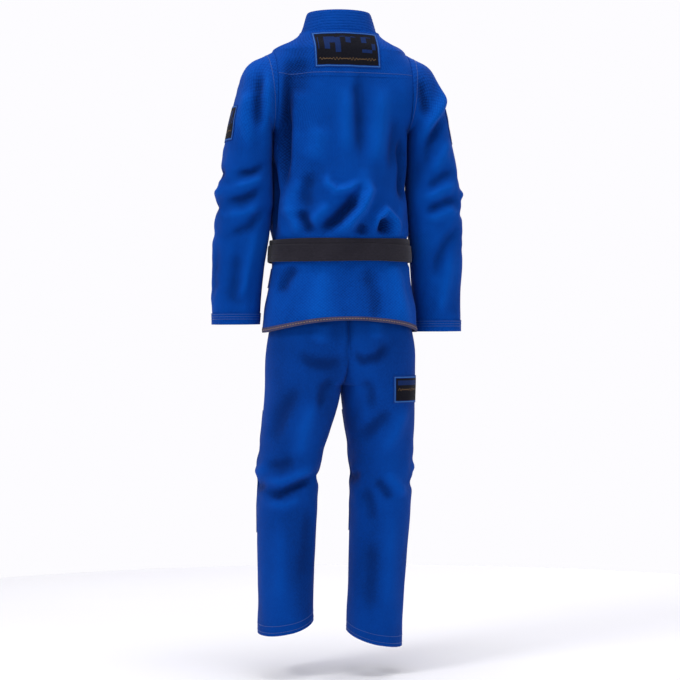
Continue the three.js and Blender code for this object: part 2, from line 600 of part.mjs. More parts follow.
function leg(side, name) {
  const endZ = -TROUSER_HEM_DROP[name];
  const onSide = side > 0 ? leftOf(0) : rightOf(0);
  const { upper, lower } = splitAtHinge(hipSplit.lower.intersect(onSide), kneeRadius, -KNEE_FORWARD, kneeZ);
  const kneeSkin = trouserSkin.intersect(onSide).intersect(before(-KNEE_FORWARD - KNEE_DEPTH * 0.16))
    .intersect(block(-FAR, FAR, -FAR, FAR, kneeZ - KNEE_PATCH_BELOW, kneeZ + KNEE_PATCH_ABOVE))
    .subtract(crossBar(HIP_CUT_RADIUS + RUNNING_GAP, 0, hipZ));
  const kneePatch = splitAtHinge(kneeSkin, kneeRadius, -KNEE_FORWARD, kneeZ);
  const bandTop = endZ + LEG_HEM_BAND_HEIGHT;
  const hemBand = legSolid(side, name, -SEAM_GAP, endZ)
    .subtract(legSolid(side, name, -SEAM_GAP - PATCH_THICKNESS, -FAR))
    .intersect(below(bandTop));
  return { upper, lower, kneePatch, hemBand };
}

/** The patch that wraps the right hip's outer back corner. */
function thighPatch() {
  const top = -THIGH_PATCH.drop;
  return trouserSkin.intersect(block(-FAR, -LEG_CENTRE_TOP - 27, 0, FAR, top - THIGH_PATCH.height, top));
}

/** A small cloth loop for the drawstring, standing off the waistband's front. */
function drawstringLoop(x) {
  const z = (trouserTopZ + waistbandFootZ) / 2;
  const skin = seatSolid(TROUSER_CLOTH + SEAM_GAP + LOOP_STAND, trouserTopZ, waistbandFootZ)
    .subtract(seatSolid(TROUSER_CLOTH + SEAM_GAP, trouserTopZ + 30, waistbandFootZ - 40));
  const eyeOut = TROUSER_CLOTH + SEAM_GAP + LOOP_STAND - PATCH_THICKNESS;
  const eye = seatSolid(eyeOut, trouserTopZ + 30, waistbandFootZ - 40);
  const half = LOOP_WIDTH / 2;
  const reach = WAISTBAND_HEIGHT / 2 - 4;
  const strip = block(x - half, x + half, -FAR, 0, z - reach, z + reach);
  const hole = block(x - half - 5, x + half + 5, -FAR, 0, z - reach + 5, z + reach - 5);
  return skin.intersect(strip).subtract(eye.intersect(hole));
}

// ---- the assembly ----------------------------------------------------------------------------------
const group = new THREE.Group();

/** Adds one named mesh to the uniform. */
function piece(name, solid, material) {
  const mesh = solid.getMesh();
  const geometry = new THREE.BufferGeometry();
  geometry.setAttribute('position', new THREE.BufferAttribute(mesh.vertProperties, 3));
  geometry.setIndex(new THREE.BufferAttribute(mesh.triVerts, 1));
  const body = new THREE.Mesh(geometry, material);
  body.name = name;
  group.add(body);
}

piece('back_panel', backPanel, pearlWeave);
piece('shoulder_yoke', shoulderYoke, pearlWeave);
piece('left_front_panel', leftFront.subtract(skirtCut), pearlWeave);
piece('right_front_panel', rightFront.subtract(skirtCut), pearlWeave);
piece('back_hem_tape', backHemTape, seamTape);
piece('left_front_hem_tape', leftFront.intersect(tapeBand), seamTape);
piece('right_front_hem_tape', rightFront.intersect(tapeBand), seamTape);
piece('collar_band', collarBand, lapelDrill);
piece('collar_core', collarCore, collarFoam);

const neckPatchZ = -NECK_PATCH.drop;
const yokeSkin = bodyLayer(JACKET_CLOTH + SEAM_GAP, JACKET_CLOTH + SEAM_GAP + PATCH_THICKNESS);
piece('neck_patch', yokeSkin.intersect(block(-NECK_PATCH.width / 2, NECK_PATCH.width / 2, 40, FAR,
  neckPatchZ - NECK_PATCH.height, neckPatchZ)), patchTwill);

for (const [side, name] of [[1, 'left'], [-1, 'right']]) {
  const half = side > 0 ? leftOf(100) : rightOf(-100);
  piece(`${name}_armpit_gusset`, gussetBand.intersect(half), pearlWeave);
  piece(`${name}_vent_patch`, ventPatch(side), pearlWeave);
  const { upper, lower, band, patch } = sleeve(side, name);
  piece(`${name}_upper_sleeve`, upper, pearlWeave);
  piece(`${name}_lower_sleeve`, lower, pearlWeave);
  piece(`${name}_cuff_band`, band, lapelDrill);
  piece(`${name}_shoulder_patch`, patch, patchTwill);
}

piece('belt_inner_turn', beltTurn(innerTurnOut, innerTurnZ), beltCotton);
piece('belt_outer_turn', beltTurn(outerTurnOut, outerTurnZ), beltCotton);
piece('belt_knot', beltKnot(), beltCotton);
for (const [side, name] of [[1, 'left'], [-1, 'right']]) {
  const { strap, bar } = tail(side, name);
  piece(`belt_${name}_tail`, strap, beltCotton);
  if (name === 'left') piece('rank_bar', bar, rankBarCotton);
}

piece('trouser_waistband', waistband, trouserTwill);
piece('crotch_gusset', crotchGusset, trouserTwill);
piece('thigh_patch', thighPatch(), patchTwill);
LOOP_PLACES.forEach((x, k) => piece(`drawstring_loop_${k + 1}`, drawstringLoop(x), trouserTwill));
for (const [side, name] of [[1, 'left'], [-1, 'right']]) {
  const half = side > 0 ? leftOf(SEAM_GAP / 2) : rightOf(-SEAM_GAP / 2);
  piece(`${name}_seat_panel`, seat.intersect(half), trouserTwill);
  const { upper, lower, kneePatch, hemBand } = leg(side, name);
  piece(`${name}_thigh_front`, upper.intersect(before(-SEAM_GAP / 2)), trouserTwill);
  piece(`${name}_thigh_back`, upper.intersect(behind(SEAM_GAP / 2)), trouserTwill);
  piece(`${name}_shin_front`, lower.intersect(before(-SEAM_GAP / 2)), trouserTwill);
  piece(`${name}_calf_back`, lower.intersect(behind(SEAM_GAP / 2)), trouserTwill);
  piece(`${name}_knee_patch_upper`, kneePatch.upper, trouserTwill);
  piece(`${name}_knee_patch_lower`, kneePatch.lower, trouserTwill);
  piece(`${name}_hem_band`, hemBand, trouserTwill);
}

export default group;
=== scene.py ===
"""A worn grappling uniform: pearl-weave jacket, padded collar, cotton belt and twill trousers, in metres."""

import json
import math

import bpy
import numpy as np
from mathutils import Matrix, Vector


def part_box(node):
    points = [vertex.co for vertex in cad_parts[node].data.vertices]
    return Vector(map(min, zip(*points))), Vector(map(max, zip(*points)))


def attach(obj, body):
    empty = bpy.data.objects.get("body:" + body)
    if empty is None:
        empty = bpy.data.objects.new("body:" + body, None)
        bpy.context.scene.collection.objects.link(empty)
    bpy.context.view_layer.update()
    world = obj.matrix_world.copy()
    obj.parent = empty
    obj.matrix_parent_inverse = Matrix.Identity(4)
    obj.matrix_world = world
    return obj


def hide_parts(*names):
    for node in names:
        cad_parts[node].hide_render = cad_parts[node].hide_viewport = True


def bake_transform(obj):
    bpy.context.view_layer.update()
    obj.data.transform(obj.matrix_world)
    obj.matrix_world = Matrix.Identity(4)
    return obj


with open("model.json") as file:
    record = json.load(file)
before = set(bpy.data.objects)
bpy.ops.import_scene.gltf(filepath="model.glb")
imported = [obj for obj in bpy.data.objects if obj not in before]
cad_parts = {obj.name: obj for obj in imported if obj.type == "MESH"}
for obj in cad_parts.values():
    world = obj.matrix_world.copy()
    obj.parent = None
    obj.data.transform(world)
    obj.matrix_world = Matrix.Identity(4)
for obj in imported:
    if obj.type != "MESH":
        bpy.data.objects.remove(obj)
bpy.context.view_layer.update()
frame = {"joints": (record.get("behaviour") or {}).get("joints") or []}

bl_info = {
    "name": "Grappling uniform",
    "version": (1, 0, 0),
    "blender": (4, 5, 0),
    "location": "3D View > Sidebar > Uniform",
    "description": "Builds the cloth of a worn grappling uniform over its fitted frame",
    "category": "Add Mesh",
}

MM = 0.001
SIDES = (("left", 1.0), ("right", -1.0))


# ---- places taken from the frame ---------------------------------------------------------------------
def low(node):
    """The lowest corner of a fitted piece, in metres."""
    return np.array(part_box(node)[0])


def high(node):
    """The highest corner of a fitted piece, in metres."""
    return np.array(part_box(node)[1])


def joint_place(name):
    """Where a joint turns."""
    return np.array(next(j["pos_m"] for j in frame["joints"] if j["name"] == name))


CLOTH = 2.4 * MM  # thickness of the jacket's cloth
TWILL = 2 * MM  # thickness of the trousers' cloth
SLEEVE_COLUMNS = 168
SHOULDER = joint_place("left_shoulder_swing")
ELBOW = joint_place("left_elbow_bend")
KNEE = {name: joint_place(f"{name}_knee_bend") for name, _ in SIDES}
ARMHOLE_X = SHOULDER[0]
ARMHOLE_Z = SHOULDER[2]
ARMHOLE_R = 95 * MM
SHOULDER_Z = ARMHOLE_Z + ARMHOLE_R
ARMPIT_Z = ARMHOLE_Z - ARMHOLE_R
BELT_Z = (low("belt_outer_turn")[2] + high("belt_inner_turn")[2]) / 2
BELT_WIDTH = high("belt_inner_turn")[2] - low("belt_inner_turn")[2]
YOKE_Z = low("shoulder_yoke")[2]
HEM_Z = BELT_Z - 205 * MM
HEM_ARCH = 36 * MM
HEM_HALF = 217 * MM
VENT_TOP = HEM_Z + 140 * MM
CUFF_Z = {name: low(f"{name}_lower_sleeve")[2] for name, _ in SIDES}
WAISTBAND_Z = low("trouser_waistband")[2]
WAIST_TOP_Z = high("trouser_waistband")[2]
CROTCH_Z = -856 * MM
FLOOR_Z = -1561 * MM
BODY_MIDDLE = np.array([0, 0, -0.4])
WAIST_MIDDLE = np.array([0, 0, -0.52])
FRONT_LAP = 10.2 * MM  # how far the left front is lifted over the right one
VENT_GAP = 4 * MM

# half widths, half depths and centre lines: (height, size) from the top down, to the cloth's inner face
BODY_HALF_WIDTH = [(0, 94), (-51, 158), (-371, 158), (-465, 163), (-531, 157), (-736, 187)]
BODY_HALF_DEPTH = [(0, 75), (-51, 104), (-146, 118), (-241, 118), (-465, 118), (-531, 102), (-736, 134)]
BODY_CENTRE_Y = [(0, 8), (-146, 6), (-241, 2), (-531, 0), (-736, 2)]
LAPEL_X = [(0, 90), (-330, 0), (-531, -58), (-736, -62)]
LAPEL_WIDTH = 50 * MM


# ---- numeric helpers ---------------------------------------------------------------------------------
def cubic(t, start, end, leaving, reaching):
    """The cubic from start to end at shares t, with the slopes it leaves and reaches them at."""
    return (start * (2 * t**3 - 3 * t**2 + 1) + leaving * (t**3 - 2 * t**2 + t)
            + end * (3 * t**2 - 2 * t**3) + reaching * (t**3 - t**2))


def along(stations, z):
    """A smooth value at height z in metres: a cubic through the stations, whose inner slopes come from
    their neighbours and whose end slopes are flat. Stations are in millimetres, from the top down."""
    heights, values = np.array(stations, float).T * MM
    slopes = np.zeros_like(values)
    slopes[1:-1] = (values[2:] - values[:-2]) / (heights[2:] - heights[:-2])
    z = np.clip(z, heights[-1], heights[0])
    k = np.clip(np.searchsorted(-heights, -np.asarray(z, float), side="right") - 1, 0, len(values) - 2)
    span = heights[k + 1] - heights[k]
    t = (z - heights[k]) / span
    return cubic(t, values[k], values[k + 1], slopes[k] * span, slopes[k + 1] * span)


def smooth(x, start, end):
    """0 before start, 1 after end, and an S-curve between them; start may lie past end."""
    t = np.clip((x - start) / (end - start), 0, 1)
    return t * t * (3 - 2 * t)


def signed_power(value, power):
    """|value| to the power, with value's sign."""
    return np.sign(value) * np.abs(value) ** power


def unit(vectors):
    """Rows of vectors, each scaled to length 1."""
    return vectors / np.linalg.norm(vectors, axis=1, keepdims=True)


def distances(path):
    """How far along a path each of its points lies."""
    return np.concatenate([[0], np.cumsum(np.linalg.norm(np.diff(path, axis=0), axis=1))])


def normals_of(grid, wrap):
    """The unit normals of a grid of points: the cross product of its two central differences.
    With wrap, the last column meets the first."""
    if wrap:
        across = np.roll(grid, -1, 1) - np.roll(grid, 1, 1)
    else:
        across = np.gradient(grid, axis=1)
    down = np.gradient(grid, axis=0)
    n = np.cross(down, across)
    length = np.linalg.norm(n, axis=2, keepdims=True)
    return n / np.maximum(length, 1e-12)


def facing_out(grid, wrap, centre):
    """The normals, turned to point away from centre, which is a point or a point per row."""
    n = normals_of(grid, wrap)
    away = ((grid - centre) * n).sum()
    return n if away > 0 else -n


def spans(grid):
    """Two maps of the distance run along the columns and along the rows, in metres, for the cloth's UVs."""
    across = np.linalg.norm(np.diff(grid, axis=1), axis=2).mean(0)
    down = np.linalg.norm(np.diff(grid, axis=0), axis=2).mean(1)
    u = np.concatenate([[0], np.cumsum(across)])
    v = np.concatenate([[0], np.cumsum(down)])
    return np.broadcast_to(u[None, :], grid.shape[:2]), np.broadcast_to(v[:, None], grid.shape[:2])


def grid_quads(rows, columns, wrap):
    """The corners of each quad of a grid, as indices; with wrap the last column meets the first."""
    i = np.arange(rows - 1)[:, None]
    j = np.arange(columns if wrap else columns - 1)[None, :]
    after = (j + 1) % columns
    corners = [i * columns + j, i * columns + after, (i + 1) * columns + after, (i + 1) * columns + j]
    return np.stack([np.broadcast_to(c, (rows - 1, j.shape[1])) for c in corners], axis=2).reshape(-1, 4)


def enclosed(points, quads):
    """Six times the volume inside a closed mesh of quads, negative when it is inside out."""
    a, b, c, d = (points[quads[:, k]] for k in range(4))
    return (np.cross(a, b) * c).sum() + (np.cross(a, c) * d).sum()


def new_mesh(name, points, quads, uvs, material, worn=None):
    """An object at the origin from points, quads, and a UV for each point in metres of cloth. The fold
    value, if given, is how far each point is raised into a fold, from -1 to 1; the cloth's colour turns it
    into painted shade down in folds and into wear with painted highlight on ridges. Faces are turned
    outwards."""
    if enclosed(points, quads) < 0:
        quads = quads[:, ::-1]
    mesh = bpy.data.meshes.new(name)
    mesh.vertices.add(len(points))
    mesh.vertices.foreach_set("co", points.astype(np.float32).ravel())
    mesh.loops.add(quads.size)
    mesh.loops.foreach_set("vertex_index", quads.astype(np.int32).ravel())
    mesh.polygons.add(len(quads))
    mesh.polygons.foreach_set("loop_start", np.arange(0, quads.size, 4, dtype=np.int32))
    layer = mesh.uv_layers.new(name="cloth")
    layer.data.foreach_set("uv", uvs[quads.ravel()].astype(np.float32).ravel())
    # the fold value per point, which the colour paints as shade in folds and as wear with highlight on ridges
    raised = mesh.attributes.new("worn", "FLOAT", "POINT")
    raised.data.foreach_set("value", (np.zeros(len(points)) if worn is None else worn).astype(np.float32))
    mesh.update(calc_edges=True)
    mesh.validate()
    mesh.shade_smooth()
    mesh.set_sharp_from_angle(angle=math.radians(55))
    mesh.materials.append(material)
    obj = bpy.data.objects.new(name, mesh)
    bpy.context.scene.collection.objects.link(obj)
    return obj


def cloth(name, grid, material, body, stands_for, wrap=False, thickness=CLOTH, centre=None, worn=None,
          ride=True):
    """A closed sheet of cloth: the grid is its outer face, the inner face lies a thickness in along the
    normals, and walls join the two along every open edge. The size of its grid laid flat is worked out but
    not used; it rides its body and replaces the fitted pieces it stands for."""
    rows, columns = grid.shape[:2]
    centre = grid.reshape(-1, 3).mean(0) if centre is None else centre
    n = facing_out(grid, wrap, centre)
    points = np.concatenate([grid.reshape(-1, 3), (grid - n * thickness).reshape(-1, 3)])
    u, v = spans(grid)
    flat = np.stack([u, v], axis=2).reshape(-1, 2)
    outer = grid_quads(rows, columns, wrap)
    count = rows * columns
    index = np.arange(count).reshape(rows, columns)
    if wrap:
        loops = [np.append(index[0], index[0, 0]), np.append(index[-1], index[-1, 0])[::-1]]
    else:
        loops = [index[0], index[:, -1], index[-1, ::-1], index[::-1, 0]]
    rims = [np.stack([e[1:], e[:-1], e[:-1] + count, e[1:] + count], axis=1) for e in loops]
    quads = np.concatenate([outer, outer[:, ::-1] + count, *rims])
    worn = None if worn is None else np.tile(worn.ravel(), 2)
    obj = new_mesh(name, points, quads, np.concatenate([flat, flat]), material, worn)
    a, b, c, d = (grid.reshape(-1, 3)[outer[:, k]] for k in range(4))
    area = np.linalg.norm(np.cross(c - a, d - b), axis=1).sum() / 2
    lengths = np.linalg.norm(np.diff(grid, axis=1), axis=2).sum(1)
    drops = np.linalg.norm(np.diff(grid, axis=0), axis=2).sum(0)
    width, length = float(max(lengths.max(), 0.011)), float(max(drops.max(), 0.011))
    area = float(min(max(area, 0.301 * width * length), width * length))
    finish_piece(obj, body if ride else None, stands_for)
    return obj


def finish_piece(obj, body, stands_for):
    """Ties a piece to its body and hides the fitted pieces it replaces."""
    if stands_for:
        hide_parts(*stands_for)
    if body:
        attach(obj, body)


def strap(path, across, up, width, thickness, rows=0, depth=0.35 * MM, bend=0.0):
    """The grid of a stitched strap: a rounded strip carried along a path. across runs over its width
    and up out of its face; rows of stitching sink a groove into both faces."""
    s = np.concatenate([np.linspace(-1, 1, 81), np.linspace(1, -1, 81)])
    face = np.concatenate([np.ones(81), -np.ones(81)])
    edge = (1 - np.abs(s) ** 10) ** 0.5
    lines = np.linspace(-0.88, 0.88, rows) if rows else np.array([9.0])
    sunk = np.exp(-(((s[:, None] - lines) * np.mean(width) / 2 / (0.8 * MM)) ** 2)).sum(1) * depth
    out = face * (thickness / 2 * np.maximum(edge, 0.05) - sunk) + bend * (1 - s**2)
    reach = np.reshape(width, (-1, 1)) * s[None, :] / 2
    return path[:, None] + across[:, None] * reach[..., None] + up[:, None] * out[None, :, None]


def closed_piece(name, grid, material, body, stands_for, ring=False, worn=None):
    """A solid from a grid whose columns wrap round: either its rows meet too, or each end is closed by
    quads joined across its profile."""
    rows, columns = grid.shape[:2]
    if ring:
        quads = grid_quads(rows + 1, columns, True) % (rows * columns)
    else:
        quads = grid_quads(rows, columns, True)
        half = columns // 2
        a, b = np.arange(half), columns - 1 - np.arange(half)
        cap = np.stack([a[:-1], a[1:], b[1:], b[:-1]], axis=1)
        quads = np.concatenate([quads, cap[:, ::-1], cap + (rows - 1) * columns])
    u, v = spans(grid)
    uvs = np.stack([u, v], axis=2).reshape(-1, 2)
    obj = new_mesh(name, grid.reshape(-1, 3), quads, uvs, material, worn)
    finish_piece(obj, body, stands_for)
    return obj


def frame_of(path, up):
    """For a path: the unit direction along it, and the unit across and up that go with a rough up."""
    t = unit(np.gradient(path, axis=0))
    across = unit(np.cross(t, up))
    return t, across, np.cross(across, t)


# ---- folds -------------------------------------------------------------------------------------------
def soft_noise(points, wavelength, seed, squeeze=(1, 1, 1)):
    """Smooth noise from -1 to 1: the mean of waves in seeded directions, each about a wavelength long.
    squeeze shortens the waves along x, y and z."""
    chance = np.random.default_rng(seed)
    ways = chance.normal(size=(16, 3))
    ways /= np.linalg.norm(ways, axis=1, keepdims=True)
    ways *= np.array(squeeze) * 2 * np.pi / wavelength * chance.uniform(0.7, 1.5, (16, 1))
    phase = chance.uniform(0, 2 * np.pi, 16)
    return np.cos(points @ ways.T + phase).sum(-1) / 5.5


def to_line(points, line):
    """The distance from 2-D points to a polyline, and how far along it the nearest place is, 0 to 1."""
    a, step = line[:-1], np.diff(line, axis=0)
    gap = points[..., None, :] - a
    t = np.clip((gap * step).sum(-1) / (step**2).sum(-1), 0, 1)
    distance = np.linalg.norm(gap - t[..., None] * step, axis=-1)
    k = distance.argmin(-1)
    lengths = np.linalg.norm(step, axis=1)
    run = (np.cumsum(lengths) - lengths)[k] + np.take_along_axis(t, k[..., None], -1)[..., 0] * lengths[k]
    return distance.min(-1), run / lengths.sum()


# which way a fold faces, and the two axes that its places are given in
FACES = {"back": ((0, 1, 0), (0, 2)), "front": ((0, -1, 0), (0, 2)),
         "left": ((1, 0, 0), (1, 2)), "right": ((-1, 0, 0), (1, 2))}


def folds(grid, normals, strokes):
    """The rise of the cloth from its folds: each stroke (face, height mm, half width mm, places mm) is a
    ridge, or a valley if negative, whose section is a bell and which fades at its two ends."""
    rise = np.zeros(grid.shape[:2])
    for face, height, half_width, places in strokes:
        towards, axes = FACES[face]
        line = np.array(places, float) * MM
        distance, run = to_line(grid[..., list(axes)], line)
        ends = 0.1 + 0.9 * smooth(run, 0.0, 0.3) * smooth(run, 1.0, 0.7)
        seen = smooth((normals * np.array(towards)).sum(-1), 0.05, 0.6)
        rise += height * MM * np.exp(-((distance / (half_width * MM)) ** 2)) * ends * seen
    return rise


def drape(grid, strokes, keep, seed, soft=2.2, long=150 * MM, creases=1.0, squeeze=(1, 1, 0.55), wrap=False,
          centre=None, depth=1.75):
    """The grid moved out along its normals by its folds, a slow swell and fine creases, all scaled by
    keep, and how far each point is raised, from -1 to 1, which the cloth's colour uses as painted shade in
    folds and as wear with painted highlight on ridges."""
    n = facing_out(grid, wrap, grid.reshape(-1, 3).mean(0) if centre is None else centre)
    scale = bpy.context.scene.uniform_sizes.fold_depth
    rise = depth * folds(grid, n, strokes)
    rise += soft * MM * soft_noise(grid, long, seed, squeeze)
    rise += creases * MM * soft_noise(grid, long * 0.3, seed + 1, squeeze) * (
        0.5 + 0.5 * soft_noise(grid, long * 1.2, seed + 2))
    rise *= keep * scale
    return grid + n * rise[..., None], np.tanh(rise / (9 * MM))


# ---- the jacket's shape ------------------------------------------------------------------------------
def squareness(z):
    """The power of the body's superellipse at a height, which is rounder at the neck."""
    return 2.5 - 0.3 * smooth(z, -80 * MM, -30 * MM)


def belt_snug(z):
    """How far the jacket comes out at a height to meet the belt."""
    return 5.5 * MM * np.exp(-(((z - BELT_Z) / (34 * MM)) ** 2))


def body_point(theta, z, out):
    """A point on the jacket's body at an angle from the wearer's left and a height: a superellipse ring
    whose half width, half depth, centre and squareness follow the height."""
    power = 2 / squareness(z)
    c, s = np.cos(theta), np.sin(theta)
    x = signed_power(c, power) * (along(BODY_HALF_WIDTH, z) + out)
    y = along(BODY_CENTRE_Y, z) + signed_power(s, power) * (along(BODY_HALF_DEPTH, z) + out)
    return np.stack(np.broadcast_arrays(x, y, z), axis=-1)


def angle_at_y(y, z, out):
    """The angle on the left where the body's ring reaches a depth y."""
    power = squareness(z) / 2
    share = np.clip((y - along(BODY_CENTRE_Y, z)) / (along(BODY_HALF_DEPTH, z) + out), -1, 1)
    return np.arcsin(signed_power(share, power))


def angle_at_x(x, z, out):
    """The angle, from 0 to pi, where the body's ring reaches a place x."""
    power = squareness(z) / 2
    share = np.clip(x / (along(BODY_HALF_WIDTH, z) + out), -1, 1)
    return np.arccos(signed_power(share, power))


ANGLES = np.linspace(-0.6, math.pi + 0.6, 1500)
RUN = np.concatenate([[0], np.cumsum(np.hypot(
    np.diff(signed_power(np.cos(ANGLES), 0.8)), 0.72 * np.diff(signed_power(np.sin(ANGLES), 0.8))))])


def even_angles(start, end, share):
    """Angles between start and end that are evenly spread along the ring, for shares from 0 to 1."""
    a, b = np.interp(start, ANGLES, RUN), np.interp(end, ANGLES, RUN)
    return np.interp(a + (b - a) * share, RUN, ANGLES)


def hem_lift(x, z):
    """How far the hem's arch raises a point: all of it at the hem, none above the belt."""
    arch = HEM_ARCH * (1 - np.clip(x / HEM_HALF, -1, 1) ** 2)
    return arch * np.clip((BELT_Z - z) / (BELT_Z - HEM_Z), 0, 1) ** 1.5


def overlap_share(x, z):
    """1 where one front lies over the other, fading to 0 towards the side and the shoulder."""
    return (1 - smooth(np.abs(x), 116 * MM, 144 * MM)) * (1 - smooth(z, -185 * MM, -119 * MM))


def lapel_x(z):
    """Where the middle of a lapel runs at a height, from the wearer's middle."""
    return along(LAPEL_X, z)


def side_edge(z, half):
    """Where a body panel ends at the wearer's left: on the armhole's circle beside it, and on the side
    seam below and the shoulder seam above, with the circle's reach fading into both."""
    reach = np.sqrt(np.clip(ARMHOLE_R**2 - (z - ARMHOLE_Z) ** 2, 0, None))
    seam_y = np.where(z < ARMHOLE_Z, -12 * MM * smooth(z, ARMPIT_Z, ARMPIT_Z - 60 * MM),
                      along(BODY_CENTRE_Y, z) * smooth(z, SHOULDER_Z, SHOULDER_Z + 20 * MM))
    y = np.where(reach > 0, half * reach, seam_y)
    beyond = np.abs(z - ARMHOLE_Z) - ARMHOLE_R
    pull = 1 - smooth(beyond, 0, 26 * MM)
    return y, pull


def body_panel(half, tops, bottoms, rows, columns, out, end=None, gap=0.0, raise_front=0.0):
    """A grid of the jacket's body, from the left side round the back (half 1) or the front (half -1).
    It ends at the right side, or at a place x given by end at each height. tops and bottoms are the
    heights of its first and last rows; gap opens the side vent; raise_front lifts the overlap."""
    down = np.linspace(0, 1, rows)[:, None]
    z = tops + (bottoms - tops) * down
    y, pull = side_edge(z, half)
    vent = gap * smooth(z, VENT_TOP + 5 * MM, VENT_TOP - 12 * MM)
    start = angle_at_y(y + half * vent, z, out) * half
    finish = np.pi - start if end is None else angle_at_x(end(z), z, out)
    share = np.linspace(0, 1, columns)[None, :]
    theta = half * even_angles(start, finish, share)
    grid = body_point(theta, z, out)
    for side in (1, -1) if end is None else (1,):
        angle = half * (start if side > 0 else np.pi - start)
        edge = body_point(angle, z, out)
        goal = np.stack(np.broadcast_arrays(side * ARMHOLE_X, y, z), axis=-1)
        near = np.linalg.norm(grid - edge, axis=-1)
        weight = (1 - smooth(near, 0, 60 * MM)) * pull
        grid = grid + weight[..., None] * (goal - edge)
    lift = hem_lift(grid[..., 0], grid[..., 2])
    flank = smooth(np.abs(grid[..., 0]), 120 * MM, 158 * MM)
    beside = flank * np.exp(-(((grid[..., 2] + 330 * MM) / (75 * MM)) ** 2))
    snug = belt_snug(grid[..., 2]) + 5 * MM * beside
    n = facing_out(grid, False, BODY_MIDDLE)
    over = raise_front * overlap_share(grid[..., 0], grid[..., 2])
    grid = grid + n * (snug + over)[..., None]
    grid[..., 2] += lift
    return grid


def body_keep(grid):
    """Where a body panel may fold: less at the armhole, under the belt and at the neck."""
    x, z = np.abs(grid[..., 0]), grid[..., 2]
    hole = np.hypot(grid[..., 1], z - ARMHOLE_Z) - ARMHOLE_R
    seam = 1 - (1 - smooth(np.abs(hole), 0, 16 * MM)) * smooth(x, 128 * MM, 160 * MM)
    belt = 1 - 0.92 * (1 - smooth(np.abs(z - BELT_Z), 27 * MM, 42 * MM))
    neck = smooth(z, 0, -45 * MM)
    return seam * belt * (0.15 + 0.85 * neck)


BACK_FOLDS = [
    ("back", -5, 14, [(-30, -100), (-22, -154), (-28, -251), (-33, -330)]),
    ("back", 4, 18, [(2, -140), (6, -230), (4, -310)]),
    ("back", 5, 22, [(-86, -130), (-76, -251), (-68, -345)]),
    ("back", -4, 16, [(-118, -200), (-119, -270), (-112, -350)]),
    ("back", 8, 10, [(52, -346), (51, -376), (32, -393), (0, -386), (-34, -366)]),
    ("back", -12, 14, [(-18, -390), (-7, -424), (27, -460), (72, -490)]),
    ("back", 12, 14, [(-42, -356), (-50, -392), (-30, -435), (2, -470), (38, -496)]),
    ("back", 10, 10, [(-62, -492), (-71, -459), (-91, -438), (-113, -459), (-130, -492)]),
    ("back", -14, 13, [(-88, -452), (-87, -494)]),
    ("back", -8, 12, [(119, -433), (102, -467), (84, -497)]),
    ("back", 6, 14, [(140, -420), (122, -470), (112, -498)]),
    ("back", 4, 26, [(64, -230), (88, -330)]),
    ("back", -15, 13, [(140, -92), (147, -154), (149, -230), (150, -305), (156, -392)]),
    ("back", -5, 26, [(118, -70), (122, -120), (124, -175)]),
    ("back", 4, 18, [(112, -355), (148, -460)]),
    ("back", -5, 15, [(88, -340), (104, -400), (96, -440)]),
    ("back", 5, 13, [(40, -420), (76, -452), (96, -478)]),
    ("back", -10, 12, [(-140, -250), (-146, -330), (-140, -420)]),
    ("back", -6, 12, [(-40, -470), (-28, -498)]),
    ("back", -6, 14, [(118, -560), (150, -600), (168, -640)]),
    ("back", 4, 22, [(60, -565), (72, -660), (84, -725)]),
    ("back", -4, 18, [(-46, -562), (-62, -640), (-66, -715)]),
    ("back", 4, 20, [(-110, -562), (-126, -650), (-134, -725)]),
]
FRONT_FOLDS = [
    ("front", -8, 16, [(120, -240), (98, -340), (70, -480)]),
    ("front", 7, 16, [(136, -280), (118, -390), (96, -495)]),
    ("front", -8, 16, [(-120, -240), (-98, -350), (-86, -490)]),
    ("front", 7, 15, [(-136, -300), (-116, -410), (-108, -495)]),
    ("front", -7, 12, [(30, -470), (42, -430), (80, -390)]),
    ("front", 6, 13, [(112, -120), (100, -200), (84, -290)]),
    ("front", 6, 13, [(-112, -120), (-104, -210), (-90, -300)]),
    ("front", -6, 14, [(128, -100), (132, -190), (136, -260)]),
    ("front", -6, 14, [(-128, -100), (-132, -190), (-136, -260)]),
    ("front", 4, 20, [(90, -565), (104, -650), (112, -725)]),
    ("front", -4, 18, [(-100, -565), (-112, -650), (-118, -725)]),
]
SIDE_FOLDS = [
    ("left", -8, 13, [(10, -300), (30, -390), (20, -490)]),
    ("left", 6, 12, [(-30, -330), (-20, -420), (-40, -495)]),
    ("right", -8, 13, [(14, -300), (28, -380), (10, -490)]),
    ("right", 6, 12, [(-28, -340), (-34, -430), (-20, -495)]),
]
BODY_FOLDS = BACK_FOLDS + FRONT_FOLDS + SIDE_FOLDS


def pleats(grid, keep, seed):
    """Gathers that the belt presses into the jacket: short waves round the body that die away above and
    below the belt."""
    z = grid[..., 2]
    above = np.exp(-np.clip(z - BELT_Z - 24 * MM, 0, None) / (34 * MM)) * (z > BELT_Z)
    below = np.exp(-np.clip(BELT_Z - 24 * MM - z, 0, None) / (60 * MM)) * (z <= BELT_Z)
    return 3.2 * MM * soft_noise(grid, 46 * MM, seed, (1, 1, 0.12)) * (above + 0.8 * below) * keep


def draped_body(grid):
    """A body panel with its folds, swell and gathers."""
    keep = body_keep(grid)
    n = facing_out(grid, False, BODY_MIDDLE)
    grid = grid + n * pleats(grid, keep, 5)[..., None]
    return drape(grid, BODY_FOLDS, keep, 11, soft=2.6, long=170 * MM, creases=1.8, centre=BODY_MIDDLE,
                 depth=2.05)


